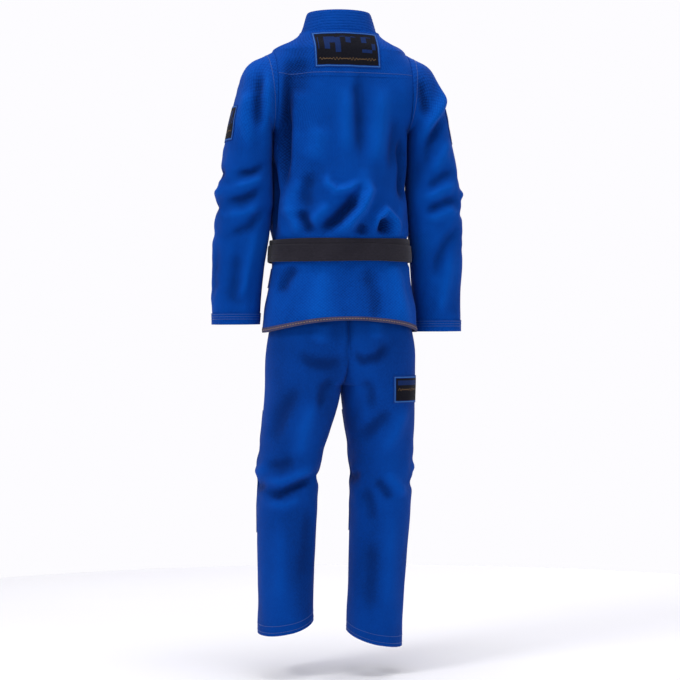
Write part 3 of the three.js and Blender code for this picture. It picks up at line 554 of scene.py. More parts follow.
# ---- the sleeves' shape ------------------------------------------------------------------------------
def through(knots, values, t):
    """A smooth curve through rows of values at rising knots, whose slopes come from the neighbours."""
    knots, values = np.array(knots, float), np.array(values, float)
    slopes = np.gradient(values, knots, axis=0)
    t = np.clip(t, knots[0], knots[-1])
    k = np.clip(np.searchsorted(knots, t, side="right") - 1, 0, len(knots) - 2)
    span = (knots[k + 1] - knots[k])[:, None]
    u = ((t - knots[k]) / span[:, 0])[:, None]
    return cubic(u, values[k], values[k + 1], slopes[k] * span, slopes[k + 1] * span)


def sleeve_sections(cuff):
    """The sleeve's cross lines from the armhole to the cuff, in millimetres: the armpit-side point, the
    shoulder-side point, the half depth and the centre's depth."""
    rows = [(165.4, -241, 165.4, -51)]
    fan = ((20, 0.87, 1.5), (40, 0.67, 4), (60, 0.57, 10), (80, 0.55, 22))
    for degrees, share, drop in fan:
        a = math.radians(degrees)
        rows.append((169, -241 - drop, 169 + 190 * share * math.sin(a),
                     -241 - drop + 190 * share * math.cos(a)))
    middle = (-430 + cuff) / 2
    for z, inner, width in ((-321, 170, 118), (-430, 170, 131), (-480, 175, 129), (middle, 186.5, 121),
                            (cuff, 197.5, 109)):
        rows.append((inner, z, inner + width, z))
    rows = np.array(rows) * MM
    mid_z = (rows[:, 1] + rows[:, 3]) / 2
    depth = along([(-146, 95), (-241, 79), (-430, 63), (cuff, 56)], mid_z)
    y = along([(-241, 0), (-430, 4), (cuff, -34)], mid_z)
    return np.column_stack([rows, depth, y])


def sleeve_tube(side, name, start, end, rows, out):
    """A grid of a sleeve between two shares of its length, set out from the cloth's inner face: rings
    that turn from the armhole's circle to the hanging arm's cross sections."""
    sections = sleeve_sections(CUFF_Z[name] / MM)
    mids = (sections[:, :2] + sections[:, 2:4]) / 2
    knots = distances(mids)
    t = np.linspace(start, end, rows) * knots[-1]
    s = through(knots, sections, t)
    inner, outer, depth, y = s[:, 0:2], s[:, 2:4], s[:, 4], s[:, 5]
    phi = np.linspace(0, 2 * np.pi, SLEEVE_COLUMNS, endpoint=False)[None, :] + np.pi
    power = (2 / (2 + 0.25 * smooth(t / knots[-1], 0, 0.2)))[:, None]
    half = (outer - inner) / 2
    reach = np.linalg.norm(half, axis=1)
    grow = ((reach + out) / reach)[:, None]
    c, sn = signed_power(np.cos(phi), power), signed_power(np.sin(phi), power)
    mid = (inner + outer) / 2
    x = mid[:, :1] + half[:, :1] * grow * c
    z = mid[:, 1:] + half[:, 1:] * grow * c
    depth_y = y[:, None] + (depth[:, None] + out) * sn
    return np.stack([side * x, depth_y, z], axis=-1)


SLEEVE_FOLDS = {
    "left": [
        ("back", 10, 13, [(176, -84), (188, -120), (190, -190), (186, -260), (184, -330)]),
        ("back", -9, 12, [(206, -100), (214, -170), (212, -250)]),
        ("back", 6, 15, [(232, -130), (240, -220), (232, -300)]),
        ("back", -8, 9, [(266, -352), (224, -346), (178, -322)]),
        ("back", 7, 10, [(276, -384), (232, -374), (180, -352)]),
        ("back", -7, 9, [(290, -416), (244, -410), (196, -384)]),
        ("back", 6, 11, [(292, -446), (250, -446), (200, -424)]),
        ("back", -6, 11, [(186, -430), (232, -476), (286, -500)]),
        ("back", 5, 14, [(206, -470), (228, -560), (246, -660)]),
        ("back", -5, 13, [(256, -520), (262, -600), (270, -680)]),
        ("front", -9, 10, [(180, -330), (222, -366), (270, -372)]),
        ("front", 8, 11, [(182, -362), (226, -396), (282, -400)]),
        ("front", -9, 10, [(178, -400), (222, -424), (288, -424)]),
        ("front", 7, 12, [(182, -440), (232, -452), (290, -450)]),
        ("front", -6, 13, [(196, -480), (240, -520), (288, -540)]),
        ("front", 6, 14, [(182, -130), (196, -220), (196, -300)]),
        ("front", -7, 13, [(208, -140), (226, -220), (232, -290)]),
        ("left", -7, 11, [(-50, -330), (0, -350), (50, -340)]),
        ("left", 6, 12, [(-50, -380), (0, -392), (50, -386)]),
        ("left", -6, 12, [(-50, -440), (-10, -424), (40, -436)]),
        ("left", -4, 16, [(20, -500), (0, -580), (-20, -660)]),
    ],
    "right": [
        ("back", 11, 14, [(-250, -100), (-243, -165), (-219, -208), (-190, -257), (-178, -290)]),
        ("back", -9, 12, [(-176, -110), (-192, -170), (-198, -220)]),
        ("back", -11, 12, [(-252, -190), (-226, -236), (-200, -278), (-184, -332), (-181, -390)]),
        ("back", 7, 15, [(-262, -250), (-240, -300), (-214, -350)]),
        ("back", -6, 12, [(-280, -330), (-240, -352), (-196, -384)]),
        ("back", 7, 11, [(-288, -366), (-244, -382), (-188, -412)]),
        ("back", -8, 10, [(-292, -398), (-250, -412), (-192, -440)]),
        ("back", 6, 11, [(-294, -430), (-250, -440), (-196, -462)]),
        ("back", -6, 13, [(-288, -470), (-250, -520), (-222, -590)]),
        ("back", 5, 14, [(-270, -520), (-256, -620), (-240, -700)]),
        ("front", -9, 10, [(-180, -336), (-224, -362), (-272, -366)]),
        ("front", 8, 11, [(-182, -370), (-228, -392), (-284, -396)]),
        ("front", -9, 10, [(-180, -404), (-222, -420), (-288, -426)]),
        ("front", 7, 12, [(-186, -444), (-232, -456), (-290, -452)]),
        ("front", -6, 13, [(-200, -490), (-240, -530), (-286, -552)]),
        ("front", 6, 14, [(-182, -130), (-198, -220), (-196, -300)]),
        ("front", -7, 13, [(-210, -140), (-226, -230), (-234, -290)]),
        ("right", -7, 11, [(-50, -336), (0, -346), (50, -350)]),
        ("right", 6, 12, [(-50, -384), (0, -388), (50, -392)]),
        ("right", -6, 12, [(-50, -436), (-10, -428), (40, -430)]),
    ],
}


def draped_sleeve(side, name, start, end, rows, out):
    """A stretch of sleeve with its folds; nearer the elbow its creases are finer and deeper, and the side
    that faces the body stays smoother, so that it clears the body."""
    grid = sleeve_tube(side, name, start, end, rows, out)
    run = np.linspace(start, end, rows)[:, None] * np.ones((1, SLEEVE_COLUMNS))
    keep = smooth(run, 0.0, 0.05) * (1 - 0.55 * smooth(run, 0.9, 1.0))
    z = grid[..., 2]
    bend = np.exp(-(((z - ELBOW[2]) / (95 * MM)) ** 2))
    n = facing_out(grid, True, grid.mean(1, keepdims=True))
    keep = keep * (1 - 0.75 * smooth(-side * n[..., 0], 0.1, 0.7))
    wring = 2.6 * MM * soft_noise(grid, 42 * MM, 31 if side > 0 else 37, (0.35, 0.5, 1)) * bend * keep
    grid = grid + n * wring[..., None]
    return drape(grid, SLEEVE_FOLDS[name], keep, 21 if side > 0 else 22, soft=2.4, long=110 * MM, creases=1.3,
                 squeeze=(0.8, 0.8, 0.8), wrap=True, centre=grid.mean(1, keepdims=True), depth=1.3)


# ---- the trousers' shape -----------------------------------------------------------------------------
LEG = {
    "left": {"centre": [(-856, 94), (-1065, 128), (-1457, 139)], "end": -1457},
    "right": {"centre": [(-856, 94), (-1065, 103), (-1493, 81)], "end": -1493},
}
SEAT_HALF_WIDTH = [(-541, 142), (-800, 182)]
SEAT_HALF_DEPTH = [(-541, 88), (-800, 113)]
SEAT_CENTRE_Y = [(-541, 0), (-800, 6)]
RISE_TOP = -738 * MM
JOIN_Z = -985 * MM


def leg_point(name, phi, z, out):
    """A point on a trouser leg at an angle from its outer side, before it is put on its side."""
    end = LEG[name]["end"]
    half_width = along([(-856, 88), (-1065, 73), (end, 66)], z) + out
    half_depth = along([(-800, 113), (-896, 103), (-1065, 84), (end, 76)], z) + out
    y = along([(-800, 6), (-1065, -10), (-1065 * 0.45 + end * 0.55, 4), (end, 0)], z)
    c, s = signed_power(np.cos(phi), 2 / 2.2), signed_power(np.sin(phi), 2 / 2.2)
    x = along(LEG[name]["centre"], z) + half_width * c
    return np.stack(np.broadcast_arrays(x, y + half_depth * s, z), -1)


def seat_point(theta, z, out):
    """A point on the trousers' seat at an angle from the wearer's side."""
    c, s = signed_power(np.cos(theta), 2 / 2.4), signed_power(np.sin(theta), 2 / 2.4)
    x = c * (along(SEAT_HALF_WIDTH, z) + out)
    y = along(SEAT_CENTRE_Y, z) + s * (along(SEAT_HALF_DEPTH, z) + out)
    return np.stack(np.broadcast_arrays(x, y, z), -1)


def lower_leg(side, name, top, out, rows=120, columns=149):
    """A leg from a height above the knee to its hem, whose inner side is cut higher."""
    end = LEG[name]["end"] * MM
    z = np.linspace(top, end, rows)[:, None]
    phi = np.pi - 2 * np.pi * np.linspace(0, 1, columns, endpoint=False)[None, :]
    grid = leg_point(name, phi, z, out)
    inner = ((1 - np.cos(phi - 0.35)) / 2) ** 1.4
    grid[..., 2] += 36 * MM * inner * smooth(z, end + 150 * MM, end)
    return grid * np.array([side, 1, 1])


LEG_FOLDS = {
    "left": [
        ("back", -6, 18, [(120, -850), (158, -920), (184, -1000)]),
        ("back", 5, 16, [(80, -880), (104, -960), (120, -1040)]),
        ("back", -10, 9, [(202, -1110), (165, -1116), (126, -1098), (71, -1076)]),
        ("back", 8, 11, [(202, -1082), (160, -1086), (120, -1070), (74, -1050)]),
        ("back", 6, 12, [(196, -1140), (150, -1142), (104, -1124)]),
        ("back", -5, 13, [(196, -1044), (160, -1046), (120, -1034)]),
        ("back", -4, 16, [(90, -1140), (98, -1240), (110, -1330)]),
        ("back", 4, 18, [(160, -1170), (164, -1280), (160, -1400)]),
        ("front", -6, 13, [(70, -1040), (120, -1030), (186, -1044)]),
        ("front", 5, 14, [(70, -1004), (124, -996), (186, -1012)]),
        ("front", -6, 14, [(76, -1130), (130, -1118), (196, -1130)]),
        ("front", 4, 20, [(130, -1180), (134, -1300), (140, -1420)]),
        ("front", -6, 16, [(40, -830), (90, -870), (150, -890)]),
        ("left", -6, 11, [(-50, -1090), (0, -1104), (50, -1096)]),
        ("left", 5, 12, [(-50, -1060), (0, -1066), (50, -1050)]),
        ("right", -6, 12, [(-50, -1070), (0, -1084), (50, -1070)]),
    ],
    "right": [
        ("back", -6, 15, [(-108, -912), (-64, -958), (-30, -988)]),
        ("back", 5, 16, [(-150, -900), (-120, -970), (-84, -1030)]),
        ("back", -7, 12, [(-70, -1080), (-92, -1106), (-114, -1136)]),
        ("back", 6, 13, [(-96, -1066), (-124, -1096), (-146, -1130)]),
        ("back", -5, 14, [(-40, -1100), (-58, -1140), (-66, -1190)]),
        ("back", 4, 18, [(-110, -1160), (-104, -1280), (-98, -1420)]),
        ("back", -4, 16, [(-60, -1220), (-58, -1320), (-52, -1420)]),
        ("front", -6, 13, [(-50, -1046), (-104, -1034), (-166, -1040)]),
        ("front", 5, 14, [(-50, -1008), (-104, -1000), (-168, -1006)]),
        ("front", -6, 14, [(-46, -1128), (-100, -1120), (-166, -1132)]),
        ("front", 4, 20, [(-96, -1180), (-92, -1300), (-90, -1440)]),
        ("front", -6, 16, [(-40, -830), (-90, -870), (-150, -890)]),
        ("right", -6, 11, [(-50, -1086), (0, -1100), (50, -1090)]),
        ("right", 5, 12, [(-50, -1052), (0, -1062), (50, -1048)]),
        ("left", -6, 12, [(-50, -1070), (0, -1084), (50, -1070)]),
    ],
}
SEAT_FOLDS = [
    ("back", -7, 12, [(-6, -773), (-35, -797), (-68, -788), (-107, -753)]),
    ("back", -6, 14, [(10, -790), (44, -806), (88, -800), (126, -776)]),
    ("back", -8, 7, [(0, -560), (0, -700), (1, -830)]),
    ("back", 5, 18, [(60, -700), (70, -760)]),
    ("back", 5, 18, [(-66, -690), (-72, -750)]),
    ("back", -5, 12, [(30, -836), (60, -862), (70, -920)]),
    ("back", -5, 12, [(-30, -836), (-54, -868), (-60, -920)]),
    ("front", -6, 10, [(0, -600), (0, -720), (0, -820)]),
    ("front", -6, 12, [(14, -800), (60, -770), (120, -740)]),
    ("front", -6, 12, [(-14, -800), (-60, -770), (-120, -740)]),
]


def draped_leg(grid, name, wrap=False):
    """A stretch of leg with its folds and, at the knee, finer creases across it."""
    z = grid[..., 2]
    waist = smooth(z, WAISTBAND_Z, WAISTBAND_Z - 40 * MM)
    hem = 1 - 0.5 * smooth(z, LEG[name]["end"] * MM + 60 * MM, LEG[name]["end"] * MM + 20 * MM)
    middle = np.abs(grid[..., 0])
    keep = waist * hem * (0.25 + 0.75 * smooth(middle, 0, 22 * MM))
    centre = np.stack([np.sign(grid[..., 0]) * along(LEG[name]["centre"], z), 0 * z, z], -1)
    knee = np.exp(-(((z - KNEE[name][2]) / (90 * MM)) ** 2))
    n = facing_out(grid, wrap, centre)
    grid = grid + n * (1.8 * MM * soft_noise(grid, 50 * MM, 41, (0.4, 0.6, 1)) * knee * keep)[..., None]
    return drape(grid, LEG_FOLDS[name] + SEAT_FOLDS, keep, 51, soft=2.2, long=150 * MM, creases=0.8,
                 squeeze=(1, 1, 0.5), wrap=wrap, centre=centre, depth=1.3)


# ---- materials ---------------------------------------------------------------------------------------
def paint(hex_value):
    """An sRGB hex colour as linear red, green, blue and 1; a colour that is linear already stays."""
    if not isinstance(hex_value, str):
        return tuple(hex_value)
    parts = [int(hex_value[k:k + 2], 16) / 255 for k in (1, 3, 5)]
    return [c / 12.92 if c <= 0.04045 else ((c + 0.055) / 1.055) ** 2.4 for c in parts] + [1.0]


def add(tree, kind, links=None, **settings):
    """Adds a node with its settings, and its inputs by name or number: a socket is linked, a value set."""
    node = tree.nodes.new(kind)
    for key, value in settings.items():
        setattr(node, key, value)
    for key, value in (links or {}).items():
        if isinstance(value, bpy.types.NodeSocket):
            tree.links.new(value, node.inputs[key])
        else:
            node.inputs[key].default_value = value
    return node


def fresh(name):
    """An empty node material with its surface shader and output."""
    material = bpy.data.materials.new(name)
    material.use_nodes = True
    tree = material.node_tree
    tree.nodes.clear()
    shader = add(tree, "ShaderNodeBsdfPrincipled")
    add(tree, "ShaderNodeOutputMaterial", {"Surface": shader.outputs[0]})
    return material, tree, shader


def woven(name, colours, weave, pitch, rough=0.9, sheen=0.02, relief=0.35 * MM, mottle=1.0, crush=0.8 * MM):
    """A cotton weave. colours are the deep, middle and pale shades: raised ridges are paler, partly wear
    and partly painted highlight, and folds are deeper with painted shade, with soft fading and fine mottling.
    weave is pearl (raised grains in a diamond lattice), twill (slanting ribs) or drill (close upright ribs),
    pitch metres apart."""
    material, tree, shader = fresh(name)
    where = add(tree, "ShaderNodeUVMap", uv_map="cloth").outputs[0]
    place = add(tree, "ShaderNodeTexCoord").outputs["Object"]
    turn = {"pearl": math.radians(45), "twill": math.radians(32), "drill": 0.0}[weave]
    laid = add(tree, "ShaderNodeMapping",
               {"Vector": where, "Rotation": (0, 0, turn), "Scale": (1 / pitch,) * 3})
    if weave == "pearl":
        grain = add(tree, "ShaderNodeTexVoronoi",
                    {"Vector": laid.outputs[0], "Scale": 1.0, "Randomness": 0.22}, voronoi_dimensions="2D")
        height = add(tree, "ShaderNodeMapRange",
                     {0: grain.outputs["Distance"], 1: 0.15, 2: 0.75, 3: 1.0, 4: 0.0})
    else:
        grain = add(tree, "ShaderNodeTexWave", {"Vector": laid.outputs[0], "Scale": 0.32, "Distortion": 0.5,
                                                "Detail": 1.0, "Detail Scale": 0.6})
        height = add(tree, "ShaderNodeMapRange", {0: grain.outputs["Fac"], 1: 0.0, 2: 1.0, 3: 0.0, 4: 1.0})
    fade = add(tree, "ShaderNodeTexNoise", {"Vector": place, "Scale": 7.0, "Detail": 5.0, "Roughness": 0.62})
    fleck = add(tree, "ShaderNodeTexNoise",
                {"Vector": place, "Scale": 210.0, "Detail": 2.0, "Roughness": 0.6})
    # fold value: darker folds are painted shade, paler ridges are wear and painted highlight
    worn = add(tree, "ShaderNodeAttribute", attribute_name="worn")
    shade = 0.235
    for source, share in ((worn.outputs["Fac"], 0.27), (fade.outputs["Fac"], 0.34 * mottle),
                          (fleck.outputs["Fac"], 0.22 * mottle), (height.outputs[0], 0.24)):
        total = add(tree, "ShaderNodeMath", {0: source, 1: share, 2: shade}, operation="MULTIPLY_ADD")
        shade = total.outputs[0]
    ramp = add(tree, "ShaderNodeValToRGB", {"Fac": shade})
    # deep end: painted shade in folds; pale end: wear with painted highlight on ridges, and random fading
    ramp.color_ramp.elements[0].position, ramp.color_ramp.elements[1].position = 0.32, 1.0
    ramp.color_ramp.elements[0].color = paint(colours[0])
    ramp.color_ramp.elements[1].color = paint(colours[2])
    ramp.color_ramp.elements.new(0.66).color = paint(colours[1])
    crumple = add(tree, "ShaderNodeTexNoise",
                  {"Vector": place, "Scale": 34.0, "Detail": 4.0, "Roughness": 0.5, "Distortion": 0.7})
    low_bump = add(tree, "ShaderNodeBump",
                   {"Height": crumple.outputs["Fac"], "Strength": 0.55, "Distance": crush})
    bump = add(tree, "ShaderNodeBump", {"Height": height.outputs[0], "Strength": 0.8, "Distance": relief,
                                        "Normal": low_bump.outputs[0]})
    gloss = add(tree, "ShaderNodeMapRange", {0: height.outputs[0], 1: 0.0, 2: 1.0, 3: min(rough + 0.06, 1.0),
                                             4: rough - 0.05})
    for key, node in (("Base Color", ramp), ("Roughness", gloss), ("Normal", bump)):
        tree.links.new(node.outputs[0], shader.inputs[key])
    shader.inputs["Sheen Weight"].default_value = sheen
    shader.inputs["Sheen Roughness"].default_value = 0.45
    shader.inputs["Specular IOR Level"].default_value = 0.06
    return material


def thread(name, colour, dash):
    """Polyester sewing thread laid in stitches: pale beads dash metres long with dark gaps between."""
    material, tree, shader = fresh(name)
    where = add(tree, "ShaderNodeUVMap", uv_map="cloth").outputs[0]
    cut = add(tree, "ShaderNodeSeparateXYZ", {0: where})
    beat = add(tree, "ShaderNodeMath", {0: cut.outputs["Y"], 1: 2 * math.pi / dash}, operation="MULTIPLY")
    beat = add(tree, "ShaderNodeMath", {0: beat.outputs[0]}, operation="SINE")
    step = add(tree, "ShaderNodeMapRange", {0: beat.outputs[0], 1: -0.75, 2: -0.35, 3: 0.0, 4: 1.0})
    tint = add(tree, "ShaderNodeMix", {"Factor": step.outputs[0], "A": paint("#062050"), "B": paint(colour)},
               data_type="RGBA")
    tree.links.new(tint.outputs["Result"], shader.inputs["Base Color"])
    shader.inputs["Roughness"].default_value = 0.6
    shader.inputs["Sheen Weight"].default_value = 0.1
    return material


def badge(name, width, height, squares, scrawl, line_at):
    """An embroidered twill badge, width by height metres of cloth: a blue margin with a thin pale
    stitched outline, and a near-black field with plain woven blocks over one wavy line, which mean
    nothing. line_at is the share of the height where the line runs; squares is a block's size."""
    material, tree, shader = fresh(name)

    def sums(kind, a, b=0.0, c=0.0):
        """The output of a maths node."""
        return add(tree, "ShaderNodeMath", {0: a, 1: b, 2: c}, operation=kind).outputs[0]

    where = add(tree, "ShaderNodeUVMap", uv_map="cloth").outputs[0]
    cut = add(tree, "ShaderNodeSeparateXYZ", {0: where})
    u, v = cut.outputs["X"], cut.outputs["Y"]
    inset = sums("MINIMUM", sums("MINIMUM", u, sums("SUBTRACT", width, u)),
                 sums("MINIMUM", v, sums("SUBTRACT", height, v)))
    stitch = sums("SINE", sums("MULTIPLY", sums("ADD", u, v), 2 * math.pi / (3.2 * MM)))
    beside = sums("ABSOLUTE", sums("SUBTRACT", inset, 3.4 * MM))
    outline = sums("MULTIPLY", sums("LESS_THAN", beside, 0.95 * MM), sums("MULTIPLY_ADD", stitch, 0.2, 0.7))
    field = sums("GREATER_THAN", inset, 6 * MM)
    snapped = add(tree, "ShaderNodeVectorMath", {0: where, 1: squares}, operation="SNAP")
    chance = add(tree, "ShaderNodeTexWhiteNoise", {"Vector": snapped.outputs[0]}, noise_dimensions="2D")
    band = sums("MULTIPLY", sums("GREATER_THAN", v, height * 0.16),
                sums("LESS_THAN", v, height * (line_at - 0.16)))
    blocks = sums("MULTIPLY", sums("GREATER_THAN", chance.outputs["Value"], 0.5),
                  sums("MULTIPLY", band, sums("GREATER_THAN", inset, 11 * MM)))
    swing = sums("SINE", sums("MULTIPLY", u, 2 * math.pi / (5.3 * scrawl)))
    wave = sums("MULTIPLY", sums("SINE", sums("MULTIPLY", u, 2 * math.pi / scrawl)),
                sums("MULTIPLY_ADD", swing, 0.5, 0.6))
    line = sums("ABSOLUTE", sums("SUBTRACT", sums("MULTIPLY_ADD", wave, 2.6 * MM, height * line_at), v))
    mark = sums("MULTIPLY", sums("LESS_THAN", line, 1.2 * MM), sums("GREATER_THAN", inset, 12 * MM))
    tone = paint("#0a3480")
    for mask, colour in ((field, "#0a0b16"), (blocks, "#0b2556"), (mark, "#5c4831"), (outline, "#3f78ba")):
        mixed = add(tree, "ShaderNodeMix", {"Factor": mask, "A": tone, "B": paint(colour)}, data_type="RGBA")
        tone = mixed.outputs["Result"]
    satin = sums("SINE", sums("MULTIPLY", sums("MULTIPLY_ADD", v, 2.0, u), 2 * math.pi / (1.6 * MM)))
    raised = sums("ADD", sums("MULTIPLY", satin, 0.3), sums("ADD", outline, sums("MULTIPLY", blocks, 0.5)))
    bump = add(tree, "ShaderNodeBump", {"Height": raised, "Strength": 0.5, "Distance": 0.4 * MM})
    tree.links.new(tone, shader.inputs["Base Color"])
    tree.links.new(bump.outputs[0], shader.inputs["Normal"])
    shader.inputs["Roughness"].default_value = 0.8
    shader.inputs["Specular IOR Level"].default_value = 0.1
    shader.inputs["Sheen Weight"].default_value = 0.02
    return material


def painted_board(name, colour):
    """Matt painted board: an even pale face with the faint roller texture of emulsion paint."""
    material, tree, shader = fresh(name)
    place = add(tree, "ShaderNodeTexCoord").outputs["Object"]
    cloud = add(tree, "ShaderNodeTexNoise", {"Vector": place, "Scale": 1.4, "Detail": 2.0})
    tint = add(tree, "ShaderNodeMix",
               {"Factor": cloud.outputs["Fac"], "A": paint(colour), "B": paint("#ffffff")}, data_type="RGBA")
    tree.links.new(tint.outputs["Result"], shader.inputs["Base Color"])
    shader.inputs["Roughness"].default_value = 0.85
    return material


def make_cloths():
    """Every cloth of the uniform, once."""
    colours = bpy.context.scene.uniform_colours
    sizes = bpy.context.scene.uniform_sizes
    # the fold colours are painted shade in folds; the worn colours are wear with painted highlight on ridges
    jacket = (colours.jacket_fold_shade, colours.jacket, colours.jacket_wear_and_highlight)
    trousers = (colours.trousers_fold_shade, colours.trousers, colours.trousers_wear_and_highlight)
    # pearl weave: thick cotton whose raised grains catch the light; 3 mm grains drawn 5.5 mm so they show
    CLOTHS["jacket"] = woven("royal_pearl_weave_cotton", jacket, "pearl", sizes.weave_pitch, relief=0.55 * MM)
    # drill: a close hard-wearing rib over the padded lapel, sewn in rows
    CLOTHS["lapel"] = woven("royal_cotton_drill", jacket, "drill", 1.6 * MM, rough=0.86, relief=0.2 * MM)
    # trouser twill: smoother, with fine slanting ribs and a slight bloom
    CLOTHS["trousers"] = woven("royal_cotton_twill", trousers, "twill", 1.8 * MM, rough=0.84, sheen=0.02,
                               relief=0.18 * MM, mottle=0.8)
    # woven tape that binds the jacket's hem: grey-violet with small warm stitches
    CLOTHS["tape"] = woven("grey_violet_twill_tape", ("#26243a", "#454360", "#6a6784"), "twill", 1.5 * MM,
                           rough=0.8, relief=0.2 * MM)
    # black cotton belting: a dense matt rib with soft grey mottling
    CLOTHS["belt"] = woven("black_cotton_belting", ("#131218", "#26242c", "#3f3c45"), "drill", 1.4 * MM,
                           rough=0.88, sheen=0.2, relief=0.2 * MM)
    CLOTHS["bar"] = woven("red_cotton_belting", ("#4a0b12", "#7f1620", "#a5303a"), "drill", 1.4 * MM,
                          rough=0.85)
    CLOTHS["waistband"] = woven("royal_twill_waistband", trousers, "drill", 2.2 * MM, rough=0.86)
    CLOTHS["blue_thread"] = thread("pale_blue_sewing_thread", "#0f489e", 4.5 * MM)
    CLOTHS["warm_thread"] = thread("ochre_sewing_thread", "#8c6b52", 7 * MM)
    CLOTHS["grey_thread"] = thread("charcoal_sewing_thread", "#3b3942", 4 * MM)


CLOTHS = {}


# ---- small shapes ------------------------------------------------------------------------------------
def seam(name, path, out, material, body, width=1.3 * MM, rise=0.9 * MM):
    """A line of stitching: a thin raised cord of thread that lies along a path on the cloth's face."""
    _, across, _ = frame_of(path, out)
    turn = np.linspace(0, 2 * np.pi, 6, endpoint=False)
    grid = (path[:, None] + across[:, None] * (np.cos(turn) * width / 2)[None, :, None]
            + out[:, None] * (np.sin(turn) * rise / 2)[None, :, None])
    quads = grid_quads(len(path), 6, True)
    caps = np.array([[0, 1, 2, 5], [2, 3, 4, 5]])
    quads = np.concatenate([quads, caps[:, ::-1], caps + (len(path) - 1) * 6])
    run = distances(path)
    uvs = np.stack([np.tile(turn, len(path)) * 1e-3, np.repeat(run, 6)], axis=1)
    obj = new_mesh(name, grid.reshape(-1, 3), quads, uvs, material)
    if body:
        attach(obj, body)
    return obj


def row_seam(name, grid, n, row, columns, lift, thread_name, body, width=1.3 * MM):
    """A line of stitching along a row of a grid with normals n, lifted off the cloth by millimetres."""
    face = n[row, columns]
    return seam(name, grid[row, columns] + face * lift * MM, face, CLOTHS[thread_name], body, width=width)


def closed_ring(columns):
    """The columns of a ring of cloth, with the first one again at the end."""
    return np.append(np.arange(columns), 0)


def front_y(x, z, out):
    """The depth of the jacket's front at a place x and a height z, set out from the inner face."""
    power = squareness(z)
    share = np.clip(np.abs(x) / (along(BODY_HALF_WIDTH, z) + out), 0, 0.995)
    return along(BODY_CENTRE_Y, z) - (along(BODY_HALF_DEPTH, z) + out) * (1 - share**power) ** (1 / power)


def lapel_edges(side, z):
    """The outer and inner edges of a lapel on the chest at heights z: half its width to each side of
    its centre line, square to the line, lifted over whatever lies under it."""
    m = np.gradient(lapel_x(z), z)
    long = np.sqrt(1 + m**2)
    edges = []
    for way in (1, -1):
        x = lapel_x(z) + way * LAPEL_WIDTH / 2 / long
        h = z - way * LAPEL_WIDTH / 2 * m / long
        share = overlap_share(x, h)
        out = 2.8 * MM + 3.9 * MM + (FRONT_LAP * share if side > 0 else 0)
        snug = belt_snug(h) * (1 - share)
        y = front_y(x, h, out + snug)
        edges.append(np.stack([side * x, y, h + hem_lift(x, h)], axis=-1))
    return edges


def collar_edges():
    """The foot and the top edge of the whole collar, from the left hem round the neck to the right hem:
    standing behind the neck, turning over at its sides, and lying flat down both fronts."""
    angles = np.radians([90, 72, 54, 36, 18, 0, -14])
    c, s = signed_power(np.cos(angles), 2 / 2.2), signed_power(np.sin(angles), 2 / 2.2)
    standing = [np.stack([w * c, y + d * s, h - dip * smooth(c, 0.5, 0.95)], axis=-1) * MM
                for w, d, y, h, dip in ((92, 73.5, 8, -6, 9), (74, 64, 5, 49.5, 0))]
    turning = [np.array([[103, -51, -29]]) * MM, np.array([[68, -48, 20]]) * MM]
    heights = -MM * np.array([50, 80, 115, 150, 190, 230, 280, 330, 380, 430, 480, 531, 580, 640, 700, 735])
    halves = []
    for side in (1, -1):
        chest = lapel_edges(side, heights)
        halves.append([np.concatenate([standing[k] * [side, 1, 1], turning[k] * [side, 1, 1], chest[k]])
                       for k in (0, 1)])
    return [np.concatenate([halves[0][k][::-1], halves[1][k][1:]]) for k in (0, 1)]


# ---- what a user may change --------------------------------------------------------------------------
class UniformSizes(bpy.types.PropertyGroup):
    """Sizes of the uniform's finish."""

    fold_depth: bpy.props.FloatProperty(
        name="Fold depth", description="How deep the folds are, where 1 is as worn", default=1.0, min=0.0,
        max=1.3, subtype="FACTOR")
    weave_pitch: bpy.props.FloatProperty(
        name="Weave pitch", description="Distance between the raised grains of the jacket's weave",
        default=5.5 * MM, min=1 * MM, max=8 * MM, unit="LENGTH")
    collar_thickness: bpy.props.FloatProperty(
        name="Collar thickness", description="Thickness of the padded collar", default=7.6 * MM, min=4 * MM,
        max=9 * MM, unit="LENGTH")
    belt_thickness: bpy.props.FloatProperty(
        name="Belt thickness", description="Thickness of the sewn cotton belt", default=4.0 * MM, min=2 * MM,
        max=4.5 * MM, unit="LENGTH")
    belt_rows: bpy.props.IntProperty(
        name="Belt stitch rows", description="Rows of stitching along the belt", default=9, min=3, max=14)
    collar_rows: bpy.props.IntProperty(
        name="Collar stitch rows", description="Rows of stitching along the collar", default=8, min=3, max=14)


def shade_of(name, description, hex_value):
    """A colour property, whose default is given as sRGB hex."""
    return bpy.props.FloatVectorProperty(name=name, description=description, subtype="COLOR", size=4, min=0,
                                         max=1, default=paint(hex_value))


class UniformColours(bpy.types.PropertyGroup):
    """Colours of the uniform's cloth."""

    # Fold colours are painted shade, reached down in the folds; worn colours are wear with painted highlight,
    # reached on raised ridges.
    jacket_fold_shade: shade_of("Jacket, folds", "The jacket's blue down in its folds", "#001f58")
    jacket: shade_of("Jacket", "The jacket's blue", "#003f98")
    jacket_wear_and_highlight: shade_of("Jacket, worn", "The jacket's blue where wear has lifted it", "#0052b4")
    trousers_fold_shade: shade_of("Trousers, folds", "The trousers' blue down in their folds", "#00205a")
    trousers: shade_of("Trousers", "The trousers' blue", "#003e97")
    trousers_wear_and_highlight: shade_of("Trousers, worn", "The trousers' blue where wear has lifted it", "#004fae")


